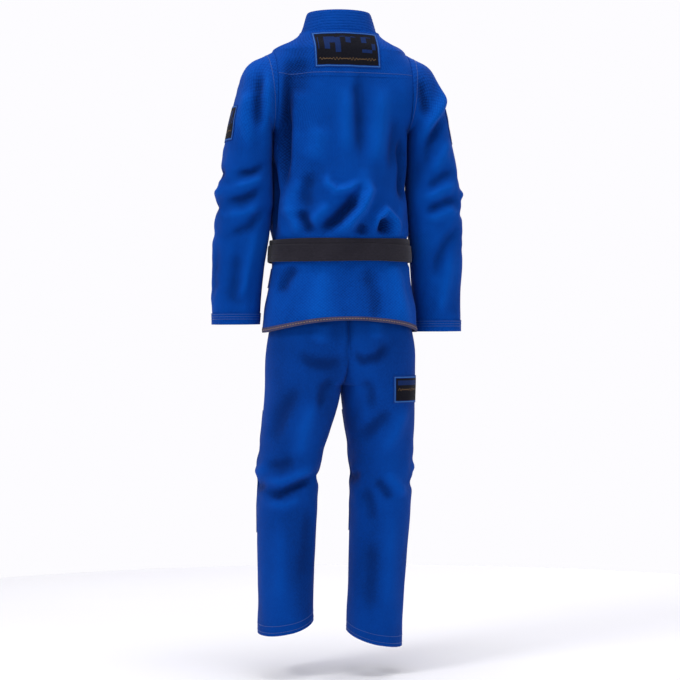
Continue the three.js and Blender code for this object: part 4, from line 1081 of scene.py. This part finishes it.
# ---- the operators -----------------------------------------------------------------------------------
class UNIFORM_OT_stage(bpy.types.Operator):
    """Set up the backdrop, the lights and the camera"""

    bl_idname = "uniform.stage"
    bl_label = "Stage"

    def execute(self, context):
        """A round pale floor under an evenly lit dome that is brightest at the horizon."""
        turn = np.linspace(0, 2 * np.pi, 160, endpoint=False)
        radii = np.array([0.02, 0.8, 1.6, 2.2, 2.25, 2.25, 0.02])
        drops = np.array([0, 0, 0, 0, -0.01, -0.03, -0.03]) + FLOOR_Z
        grid = np.stack([radii[:, None] * np.cos(turn), radii[:, None] * np.sin(turn),
                         drops[:, None] + 0 * turn], axis=-1)
        points = grid.reshape(-1, 3)
        quads = grid_quads(len(radii), 160, True)
        half = np.arange(80)
        cap = np.stack([half[:-1], half[1:], 159 - half[1:], 159 - half[:-1]], axis=1)
        quads = np.concatenate([quads, cap[:, ::-1], cap + (len(radii) - 1) * 160])
        board = painted_board("pale_painted_board", "#fbfaff")
        new_mesh("floor", points, quads, points[:, :2], board)

        world = bpy.data.worlds.new("studio")
        world.use_nodes = True
        tree = world.node_tree
        way = add(tree, "ShaderNodeSeparateXYZ", {0: add(tree, "ShaderNodeTexCoord").outputs["Generated"]})
        height = add(tree, "ShaderNodeMath", {0: way.outputs["Z"]}, operation="ABSOLUTE")
        ramp = add(tree, "ShaderNodeValToRGB", {"Fac": height.outputs[0]})
        ramp.color_ramp.elements[0].position, ramp.color_ramp.elements[1].position = 0.24, 0.9
        ramp.color_ramp.elements[0].color = paint("#fdfcff")
        ramp.color_ramp.elements[1].color = paint("#f4f3f8")
        ramp.color_ramp.elements.new(0.42).color = paint("#55545c")
        tree.links.new(ramp.outputs[0], tree.nodes["Background"].inputs[0])
        tree.nodes["Background"].inputs[1].default_value = 1.0
        context.scene.world = world
        yaw = math.radians(11)
        lamps = (("key", (3.0, 2.0, 2.2), 1.3, 62), ("fill", (-3.0, 3.4, 0.2), 2.4, 6),
                 ("top", (0.0, 0.5, 2.6), 1.4, 40), ("front", (-2.2, -3.0, 1.4), 1.6, 34))
        for name, place, size, power in lamps:
            light = bpy.data.lights.new(name, "AREA")
            light.shape, light.size, light.energy = "DISK", size, power
            lamp = bpy.data.objects.new(name, light)
            lamp.location = place
            aim = -np.array(place) + [0, 0, -0.7]
            lamp.rotation_euler = (math.atan2(np.hypot(aim[0], aim[1]), -aim[2]), 0,
                                   math.atan2(-aim[0], aim[1]))
            context.scene.collection.objects.link(lamp)
        camera = bpy.data.cameras.new("camera")
        camera.lens, camera.sensor_width = 98.4, 36
        obj = bpy.data.objects.new("camera", camera)
        obj.location = (4.545 * math.sin(yaw), 4.545 * math.cos(yaw), -0.747)
        obj.rotation_euler = (math.pi / 2, math.radians(0.3), math.pi - yaw)
        context.scene.collection.objects.link(obj)
        context.scene.camera = obj
        context.scene.view_settings.view_transform = "Standard"
        return {"FINISHED"}


class UNIFORM_OT_jacket_back(bpy.types.Operator):
    """Cut the jacket's back and its yoke"""

    bl_idname = "uniform.jacket_back"
    bl_label = "Jacket back and yoke"

    def execute(self, context):
        """One body surface, cut at the yoke seam; the yoke laps over the back by its thickness."""
        grid = body_panel(1, YOKE_Z + 4 * MM, HEM_Z, 150, 190, CLOTH, gap=VENT_GAP)
        grid, worn = draped_body(grid)
        cloth("jacket_back", grid, CLOTHS["jacket"], "jacket", ["back_panel"], worn=worn,
              centre=BODY_MIDDLE)
        grid = body_panel(1, np.array(-1.5 * MM), YOKE_Z, 40, 190, CLOTH + 1.1 * MM)
        grid, worn = draped_body(grid)
        cloth("jacket_yoke", grid, CLOTHS["jacket"], "jacket", ["shoulder_yoke"], worn=worn,
              thickness=CLOTH + 0.8 * MM, centre=BODY_MIDDLE)
        n = facing_out(grid, False, BODY_MIDDLE)
        row_seam("yoke_stitching", grid, n, -4, slice(2, -2), 0.1, "blue_thread", "jacket")
        return {"FINISHED"}


class UNIFORM_OT_jacket_fronts(bpy.types.Operator):
    """Cut the jacket's two fronts, the left one lying over the right"""

    bl_idname = "uniform.jacket_fronts"
    bl_label = "Jacket fronts"

    def execute(self, context):
        """Each front runs from its side to just under its lapel; the left is lifted over the right."""
        for name, side in SIDES:
            grid = body_panel(-1, np.array(-1.5 * MM), HEM_Z, 180, 120, CLOTH,
                              end=lambda z: np.maximum(lapel_x(z) - 18 * MM, -90 * MM), gap=VENT_GAP,
                              raise_front=FRONT_LAP if side > 0 else 0.0)
            grid, worn = draped_body(grid * np.array([side, 1, 1]))
            cloth(f"jacket_{name}_front", grid, CLOTHS["jacket"], "jacket", [f"{name}_front_panel"],
                  worn=worn, centre=BODY_MIDDLE)
        return {"FINISHED"}


class UNIFORM_OT_jacket_trims(bpy.types.Operator):
    """Bind the jacket's hem and reinforce its vents and armpits"""

    bl_idname = "uniform.jacket_trims"
    bl_label = "Hem tape, vents and gussets"

    def execute(self, context):
        """The tape wraps the last 12 mm of the cloth on both faces; each patch lies on the body surface."""
        tape = HEM_Z + 12 * MM
        parts = [("back_hem_tape", 1, 1, None, 0.0)]
        parts += [(f"{name}_front_hem_tape", -1, side, lambda z: lapel_x(z) + 18 * MM,
                   FRONT_LAP if side > 0 else 0) for name, side in SIDES]
        for node, half, side, end, lift in parts:
            grid = body_panel(half, np.array(tape), HEM_Z - 0.6 * MM, 7, 190, CLOTH + 0.9 * MM, end=end,
                              gap=VENT_GAP, raise_front=lift)
            grid, _ = draped_body(grid * np.array([side, 1, 1]))
            cloth(node.replace("_hem_tape", "_hem_binding"), grid, CLOTHS["tape"], "jacket", [node],
                  thickness=CLOTH + 1.7 * MM, centre=BODY_MIDDLE)
            n = facing_out(grid, False, BODY_MIDDLE)
            row_seam(node.replace("_hem_tape", "_hem_stitches"), grid, n, 3, slice(2, -2), 0.2, "warm_thread",
                     "jacket", width=1.4 * MM)
        kinds = (("vent_patch", 2 * CLOTH + 0.4 * MM, 24), ("armpit_gusset", 2 * CLOTH - 1 * MM, 26))
        for name, side in SIDES:
            for kind, out, rows in kinds:
                node = f"{name}_{kind}"
                top, foot = high(node)[2], low(node)[2]
                depths = np.linspace(low(node)[1], high(node)[1], 34)[None, :]
                z = np.linspace(top, foot, rows)[:, None]
                if kind == "armpit_gusset":
                    share = np.abs(np.linspace(-1, 1, rows))[:, None]
                    depths = depths * np.clip(1.08 - share, 0.08, 1)
                grid = body_point(angle_at_y(depths, z, out), z, out) * np.array([side, 1, 1])
                cloth(f"{name}_{kind.replace('armpit', 'underarm')}_cloth", grid, CLOTHS["jacket"], "jacket",
                      [node], thickness=1.8 * MM, centre=BODY_MIDDLE)
        return {"FINISHED"}


class UNIFORM_OT_sleeves(bpy.types.Operator):
    """Set in the sleeves, with their cuff bands"""

    bl_idname = "uniform.sleeves"
    bl_label = "Sleeves and cuffs"

    def execute(self, context):
        """Each sleeve is one tube from the armhole to the cuff that bends at the elbow."""
        for name, side in SIDES:
            grid, worn = draped_sleeve(side, name, 0.0, 1.0, 190, CLOTH)
            middle = grid.mean(1, keepdims=True)
            sleeve = cloth(f"{name}_sleeve", grid, CLOTHS["jacket"], None,
                           [f"{name}_upper_sleeve", f"{name}_lower_sleeve"], wrap=True, worn=worn, ride=False,
                           centre=middle)
            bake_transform(sleeve)
            band, _ = draped_sleeve(side, name, 0.955, 1.0, 10, CLOTH + 1.9 * MM)
            band[-1, :, 2] -= 0.8 * MM
            n = facing_out(band, True, band.mean(1, keepdims=True))
            cloth(f"{name}_cuff", band, CLOTHS["jacket"], f"{name}_forearm", [f"{name}_cuff_band"], wrap=True,
                  centre=band.mean(1, keepdims=True), thickness=1.7 * MM)
            ring = closed_ring(SLEEVE_COLUMNS)
            for k, row in enumerate((1, 3, 5)):
                row_seam(f"{name}_cuff_stitching_{k + 1}", band, n, row, ring, 0.2, "blue_thread",
                         f"{name}_forearm")
            n = facing_out(grid, True, middle)
            row_seam(f"{name}_armhole_stitching", grid, n, 3, ring, 0.2, "blue_thread", f"{name}_upper_arm")
        return {"FINISHED"}


class UNIFORM_OT_collar(bpy.types.Operator):
    """Sew the padded collar and both lapels as one band"""

    bl_idname = "uniform.collar"
    bl_label = "Collar and lapels"

    def execute(self, context):
        """A rounded strip with rows of stitching is carried between its foot edge and its top edge."""
        sizes = context.scene.uniform_sizes
        foot, top = collar_edges()
        middle = (foot + top) / 2
        knots = distances(middle)
        t = np.linspace(0, knots[-1], 330)
        both = through(knots, np.concatenate([foot, top], axis=1), t)
        foot, top = both[:, :3], both[:, 3:]
        path = (foot + top) / 2
        across = top - foot
        width = np.linalg.norm(across, axis=1, keepdims=True)
        across = across / width
        up = unit(np.cross(unit(np.gradient(path, axis=0)), across))
        if (up[165] * [0, 1, 0]).sum() < 0:
            up = -up
        path = path + up * (1.1 * MM * soft_noise(path, 120 * MM, 61))[:, None]
        grid = strap(path, across, up, width, sizes.collar_thickness, rows=sizes.collar_rows, depth=0.55 * MM,
                     bend=0.6 * MM)
        collar = closed_piece("padded_collar", grid, CLOTHS["lapel"], "jacket",
                              ["collar_band", "collar_core"])
        return {"FINISHED"}


def belt_path(out, z, seed):
    """A turn of the belt: a superellipse round the waist that swings out over the lapels in front, with
    a slight rise and fall."""
    theta = np.linspace(0, 2 * np.pi, 320, endpoint=False) + np.pi / 2
    c, s = signed_power(np.cos(theta), 0.8), signed_power(np.sin(theta), 0.8)
    front = (1 - smooth(np.abs(c * 157 * MM), 116 * MM, 144 * MM)) * (s < 0) * 17.6 * MM
    grid = np.stack([c * (157 * MM + out + front), s * (102 * MM + out + front), 0 * c + z], axis=-1)
    step = np.roll(grid, -1, 0) - np.roll(grid, 1, 0)
    up = unit(np.stack([step[:, 1], -step[:, 0], 0 * c], axis=-1))
    grid[:, 2] += 1.6 * MM * soft_noise(grid, 260 * MM, seed)
    return grid, np.tile([0.0, 0, 1.0], (320, 1)), up


class UNIFORM_OT_belt(bpy.types.Operator):
    """Wrap the belt twice round the waist, knot it, and hang its two ends"""

    bl_idname = "uniform.belt"
    bl_label = "Belt, knot and ends"

    def execute(self, context):
        """Every strap is the same stitched strip carried along its own path."""
        sizes = context.scene.uniform_sizes
        thick, rows, belt = sizes.belt_thickness, sizes.belt_rows, CLOTHS["belt"]
        turns = (("belt_inner_turn", 11.8, -524, 0.03), ("belt_outer_turn", 16.4, -538, -0.05))
        for k, (node, out, z, tilt) in enumerate(turns):
            path, across, up = belt_path(out * MM, z * MM, 71 + k)
            across = unit(across + up * tilt)
            grid = strap(path, across, up, BELT_WIDTH - 1 * MM, thick, rows=rows, bend=0.4 * MM)
            closed_piece(node.replace("_turn", "_wrap"), grid, belt, "jacket", [node], ring=True)
        self.knot(thick, rows, belt)
        for name, side in SIDES:
            self.end(name, side, thick, rows, belt)
        return {"FINISHED"}

    def knot(self, thick, rows, belt):
        """A wrap that goes over and under both turns, with one end passing out to each side of it."""
        a = np.linspace(0, 2 * np.pi, 72, endpoint=False)
        c, s = signed_power(np.cos(a), 0.75), signed_power(np.sin(a), 0.75)
        path = np.stack([4 * MM * s, -149 * MM - 9 * MM * c, -531 * MM + 25 * MM * s], axis=-1)
        step = np.roll(path, -1, 0) - np.roll(path, 1, 0)
        lean = np.tile([0.985, 0, -0.17], (72, 1))
        up = unit(np.cross(lean, step))
        if ((path - path.mean(0)) * up).sum() < 0:
            up = -up
        lean = lean - (lean * up).sum(1, keepdims=True) * up
        grid = strap(path, lean, up, 36 * MM, thick, rows=rows, bend=1.4 * MM)
        closed_piece("belt_knot_wrap", grid, belt, "jacket", ["belt_knot"], ring=True)
        for name, side in SIDES:
            knots = np.array([[-29, -146, -519], [-18, -150, -522], [-4, -152, -528], [10, -150, -540],
                              [21, -145, -552], [27.5, -142, -563]]) * MM * [side, 1, 1]
            path = through(np.arange(6.0), knots, np.linspace(0, 5, 60))
            path[:, 1] += 3 * MM * (side < 0)
            _, across, up = frame_of(path, np.tile([0.0, -1, 0.15], (60, 1)))
            grid = strap(path, across, up, 34 * MM, thick, rows=rows, bend=1.0 * MM)
            closed_piece(f"belt_knot_{name}_pass", grid, belt, "jacket", [])

    def end(self, name, side, thick, rows, belt):
        """A hanging end: it leans out and forward, with a slow curl that grows towards its tip."""
        reach = {"left": 262, "right": 246}[name] * MM
        run = np.linspace(0, 1, 110)
        splay, lean = math.radians(13), math.radians(6.6)
        way = np.array([side * math.sin(splay), -math.cos(splay) * math.sin(lean),
                        -math.cos(splay) * math.cos(lean)])
        path = np.array([side * 27.7, -141, -566]) * MM + run[:, None] * reach * way
        path[:, 1] += 3.2 * MM * np.sin(run * 5.2) * run
        path[:, 0] += side * 3.0 * MM * np.sin(run * 3.4) * run
        t, across, up = frame_of(path, np.tile([0.0, -1.0, 0.0], (110, 1)))
        across = unit(across + up * (0.16 * side * run)[:, None])
        up = np.cross(across, t)
        up *= np.sign((up * [0, -1, 0]).sum())
        body = f"{name}_belt_end"
        grid = strap(path, across, up, 41.5 * MM, thick, rows=rows)
        closed_piece(f"belt_{name}_end", grid, belt, body, [f"belt_{name}_tail"])
        if side > 0:
            part = slice(58, 101)
            grid = strap(path[part], across[part], up[part], 44.5 * MM, thick + 2.6 * MM, rows=0)
            closed_piece("rank_bar_cloth", grid, CLOTHS["bar"], body, ["rank_bar"])


def trouser_surface(name, z, share, out):
    """Points on half of the trousers at heights z: share runs from the back seam round the outside to
    the front seam. Both the leg's ring and the seat's half ring have the same place across at each
    share; above the crotch the depth turns from the leg's to the seat's, at the seams along the rise's
    quarter-circle curve and elsewhere slowly."""
    leg = leg_point(name, np.pi - 2 * np.pi * share, z, out)
    inner, outer = leg_point(name, np.pi, z, out)[..., 0], leg_point(name, 0.0, z, out)[..., 0]
    across = np.clip((leg[..., 0] - inner) / (outer - inner), 0, 1)
    width, depth = along(SEAT_HALF_WIDTH, z) + out, along(SEAT_HALF_DEPTH, z) + out
    front = np.where(share <= 0.5, 1.0, -1.0)
    seat_y = along(SEAT_CENTRE_Y, z) + front * depth * (1 - across**2.4) ** (1 / 2.4)
    height = np.clip((z - CROTCH_Z) / (RISE_TOP - CROTCH_Z), 0, 1)
    rise = np.sqrt(1 - (1 - height) ** 2)
    slow = smooth(z, CROTCH_Z - 70 * MM, RISE_TOP)
    edge = np.minimum(share, 1 - share)
    near = 1 - smooth(edge, 0.02, 0.2)
    open_ = rise * near + slow * (1 - near)
    x = leg[..., 0] + (across * width - leg[..., 0]) * np.maximum(slow, rise * near)
    x = x - inner * (1 - rise * near) * (1 - smooth(edge, 0, 0.05)) * smooth(z, CROTCH_Z - 30 * MM, CROTCH_Z)
    y = leg[..., 1] + (seat_y - leg[..., 1]) * open_
    return np.stack(np.broadcast_arrays(np.maximum(x, 0.4 * MM), y, z), axis=-1)


class UNIFORM_OT_trousers(bpy.types.Operator):
    """Cut the trousers: a waist-to-knee half and a lower leg for each side"""

    bl_idname = "uniform.trousers"
    bl_label = "Trousers"

    def execute(self, context):
        """Both stretches of a leg are one surface, parted above the knee."""
        turn = np.linspace(math.pi / 2, 0, 34, endpoint=False)
        z = np.concatenate([np.linspace(WAISTBAND_Z, RISE_TOP, 40, endpoint=False),
                            CROTCH_Z + (RISE_TOP - CROTCH_Z) * (1 - np.cos(turn)),
                            np.linspace(CROTCH_Z, JOIN_Z, 27)])[:, None]
        share = np.linspace(0, 1, 150)[None, :]
        for name, side in SIDES:
            grid = trouser_surface(name, z, share, TWILL) * np.array([side, 1, 1])
            grid, worn = draped_leg(grid, name)
            for column in (0, -1):
                risen = grid[:, column, 2] > CROTCH_Z
                grid[risen, column, 0] = side * 0.02 * MM
            grid[..., 0] = side * np.maximum(side * grid[..., 0], 0.02 * MM)
            middle = np.array([side * 0.09, 0, -0.75])
            upper = cloth(f"{name}_trouser_upper", grid, CLOTHS["trousers"], None,
                          [f"{name}_seat_panel", f"{name}_thigh_front", f"{name}_thigh_back"], worn=worn,
                          ride=False, thickness=TWILL, centre=middle)
            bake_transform(upper)
            low_grid = lower_leg(side, name, JOIN_Z, TWILL)
            low_grid, worn = draped_leg(low_grid, name, wrap=True)
            lower = cloth(f"{name}_trouser_lower", low_grid, CLOTHS["trousers"], None,
                          [f"{name}_shin_front", f"{name}_calf_back"], wrap=True, worn=worn, ride=False,
                          thickness=TWILL, centre=low_grid.mean(1, keepdims=True))
            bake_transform(lower)
            self.hem(side, name)
            self.knee_patch(side, name)
        self.waist()
        self.gusset()
        return {"FINISHED"}

    def hem(self, side, name):
        """The turned-up hem inside the leg, and the two rows of stitching that show outside it."""
        grid = lower_leg(side, name, JOIN_Z, TWILL)
        grid, _ = draped_leg(grid, name, wrap=True)
        n = facing_out(grid, True, grid.mean(1, keepdims=True))
        inside = (grid - n * 2.3 * MM)[-9:]
        cloth(f"{name}_hem_turn", inside, CLOTHS["trousers"], f"{name}_shin", [f"{name}_hem_band"], wrap=True,
              thickness=1.6 * MM, centre=inside.mean(1, keepdims=True))
        ring = closed_ring(grid.shape[1])
        for k, row in enumerate((-7, -3)):
            row_seam(f"{name}_hem_stitching_{k + 1}", grid, n, row, ring, 0.1, "blue_thread", f"{name}_shin")

    def knee_patch(self, side, name):
        """A second layer over the front of the knee."""
        z = np.linspace(KNEE[name][2] + 147 * MM, KNEE[name][2] - 150 * MM, 76)[:, None]
        phi = np.radians(np.linspace(-18, -162, 70))[None, :]
        grid = leg_point(name, phi, z, 4.2 * MM) * np.array([side, 1, 1])
        grid, worn = draped_leg(grid, name)
        patch = cloth(f"{name}_knee_patch", grid, CLOTHS["trousers"], None,
                      [f"{name}_knee_patch_upper", f"{name}_knee_patch_lower"], worn=worn, ride=False,
                      thickness=1.8 * MM, centre=KNEE[name])
        rim, face = (np.concatenate([a[2:-2, 2], a[-3, 3:-2], a[2:-3, -3][::-1], a[2, 3:-3][::-1], a[2:3, 2]])
                     for a in (grid, facing_out(grid, False, KNEE[name])))
        stitches = seam(f"{name}_knee_patch_stitching", rim + face * 0.2 * MM, face, CLOTHS["blue_thread"],
                        None)
        for obj in (patch, stitches):
            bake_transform(obj)

    def waist(self):
        """The waistband is a ring gathered by its cord casing; four loops for the cord stand on it."""
        z = np.linspace(WAIST_TOP_Z, WAISTBAND_Z, 14)[:, None]
        theta = np.linspace(0, 2 * np.pi, 260, endpoint=False)[None, :]
        bulge = 1.2 * MM * np.sin((z - WAISTBAND_Z) / (WAIST_TOP_Z - WAISTBAND_Z) * np.pi)
        grid = seat_point(theta, z, 2.4 * MM)
        gather = 1.3 * MM * soft_noise(seat_point(theta, z * 0, 0), 26 * MM, 81) + bulge
        n = facing_out(grid, True, WAIST_MIDDLE)
        grid = grid + n * gather[..., None]
        cloth("trouser_waistband_cloth", grid, CLOTHS["waistband"], "trousers", ["trouser_waistband"],
              wrap=True, thickness=3.4 * MM, centre=WAIST_MIDDLE)
        for k, x in enumerate((-75, -32, 32, 75)):
            share = np.linspace(0, 1, 26)
            lo, hi = low(f"drawstring_loop_{k + 1}"), high(f"drawstring_loop_{k + 1}")
            drop = hi[2] + (lo[2] - hi[2]) * share
            y = hi[1] - 4 * MM - (hi[1] - lo[1] - 5 * MM) * np.sin(share * np.pi) ** 0.5
            path = np.stack([0 * share + x * MM, y, drop], axis=-1)
            _, across, up = frame_of(path, np.tile([0.0, -1.0, 0.0], (26, 1)))
            grid = strap(path, across, up, 10 * MM, 1.6 * MM, rows=0)
            closed_piece(f"cord_loop_{k + 1}", grid, CLOTHS["trousers"], "trousers",
                         [f"drawstring_loop_{k + 1}"])

    def gusset(self):
        """A lens of cloth astride the crotch: its middle follows the rise's curve and its sides turn
        down the inner legs."""
        lengthways = np.linspace(-1, 1, 40)[:, None]
        sideways = np.linspace(-1, 1, 31)[None, :]
        y = 62 * MM * lengthways + 4 * MM
        half = 30 * MM * (1 - np.abs(lengthways) ** 1.6) + 2 * MM
        run = sideways * half
        x = 8 * MM * np.tanh(run / (8 * MM))
        rise = (RISE_TOP - CROTCH_Z) * (1 - np.sqrt(1 - np.clip(np.abs(y) / (113 * MM), 0, 0.99) ** 2))
        z = CROTCH_Z - 3 * MM + rise - (np.abs(run) - np.abs(x))
        grid = np.stack(np.broadcast_arrays(x, y, z), axis=-1)
        cloth("crotch_gusset_cloth", grid, CLOTHS["trousers"], "trousers", ["crotch_gusset"],
              thickness=1.8 * MM, centre=np.array([0, 0, -0.7]))


class UNIFORM_OT_badges(bpy.types.Operator):
    """Sew on the badges: one below the collar, one on each shoulder and one on the right thigh"""

    bl_idname = "uniform.badges"
    bl_label = "Badges"

    def execute(self, context):
        """Each badge is a patch of the surface it is sewn to, set out by its own thickness."""
        lo, hi = low("neck_patch"), high("neck_patch")
        z = np.linspace(hi[2], lo[2], 34)[:, None]
        x = np.linspace(hi[0], lo[0], 60)[None, :]
        grid = body_point(angle_at_x(x, z, CLOTH + 2.9 * MM), z, CLOTH + 2.9 * MM)
        grid, _ = draped_body(grid)
        self.sew("neck_badge", grid, "jacket", "neck_patch", BODY_MIDDLE, (13 * MM, 19 * MM, 1), 8 * MM, 0.8)
        for name, side in SIDES:
            lo, hi = low(f"{name}_shoulder_patch"), high(f"{name}_shoulder_patch")
            shoulder = SLEEVE_COLUMNS // 2
            outer = sleeve_tube(side, name, 0, 0.6, 200, CLOTH)[:, shoulder, 2]
            share = np.interp([-hi[2], -lo[2]], -outer, np.linspace(0, 0.6, 200))
            tube, _ = draped_sleeve(side, name, share[0], share[1], 30, CLOTH + 1.9 * MM)
            part = tube[:, shoulder - 17:shoulder + 18]
            self.sew(f"{name}_shoulder_badge", part, f"{name}_upper_arm", f"{name}_shoulder_patch",
                     tube.mean(1, keepdims=True), (15 * MM, 15 * MM, 1), 9 * MM, 0.72)
        lo, hi = low("thigh_patch"), high("thigh_patch")
        z = np.linspace(hi[2], lo[2], 30)[:, None]
        share = np.linspace(0.5 - 82 / 360, 0.5 - 10 / 360, 40)[None, :]
        grid = trouser_surface("right", z, share, 4.0 * MM) * np.array([-1, 1, 1])
        grid, _ = draped_leg(grid, "right")
        self.sew("thigh_badge", grid, "right_thigh", "thigh_patch", np.array([-0.09, 0, -0.87]),
                 (90 * MM, 90 * MM, 1), 9 * MM, 0.5)
        return {"FINISHED"}

    def sew(self, name, grid, body, node, centre, squares, scrawl, line_at):
        """Adds a badge with a material of its own, sized to its cloth; the thigh's rides no body and is baked
        in place.
        """
        u, v = spans(grid)
        bends = node == "thigh_patch"
        material = badge(f"embroidered_twill_{name}", float(u.max()), float(v.max()), squares, scrawl,
                         line_at)
        piece = cloth(name, grid, material, None if bends else body, [node], thickness=1.4 * MM,
                      ride=not bends, centre=centre)
        if bends:
            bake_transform(piece)


STEPS = ("stage", "jacket_back", "jacket_fronts", "jacket_trims", "sleeves", "collar", "belt", "trousers",
         "badges")


class UNIFORM_PT_panel(bpy.types.Panel):
    """Sizes, colours and every piece of the uniform"""

    bl_label = "Uniform"
    bl_idname = "UNIFORM_PT_panel"
    bl_space_type = "VIEW_3D"
    bl_region_type = "UI"
    bl_category = "Uniform"

    def draw(self, context):
        """Lists the sizes, the colours and a button for each step."""
        for group in (context.scene.uniform_sizes, context.scene.uniform_colours):
            for key in group.__annotations__:
                self.layout.prop(group, key)
        for step in STEPS:
            self.layout.operator(f"uniform.{step}")


CLASSES = (UniformSizes, UniformColours, UNIFORM_OT_stage, UNIFORM_OT_jacket_back,
           UNIFORM_OT_jacket_fronts, UNIFORM_OT_jacket_trims, UNIFORM_OT_sleeves, UNIFORM_OT_collar,
           UNIFORM_OT_belt, UNIFORM_OT_trousers, UNIFORM_OT_badges, UNIFORM_PT_panel)


def register():
    """Makes the classes and the scene's settings known to Blender."""
    for cls in CLASSES:
        bpy.utils.register_class(cls)
    bpy.types.Scene.uniform_sizes = bpy.props.PointerProperty(type=UniformSizes)
    bpy.types.Scene.uniform_colours = bpy.props.PointerProperty(type=UniformColours)


def unregister():
    """Takes the settings and the classes away again."""
    del bpy.types.Scene.uniform_colours
    del bpy.types.Scene.uniform_sizes
    for cls in reversed(CLASSES):
        bpy.utils.unregister_class(cls)


def main():
    """Registers the classes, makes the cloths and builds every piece."""
    register()
    make_cloths()
    for step in STEPS:
        getattr(bpy.ops.uniform, step)()


if __name__ == "__main__":
    main()
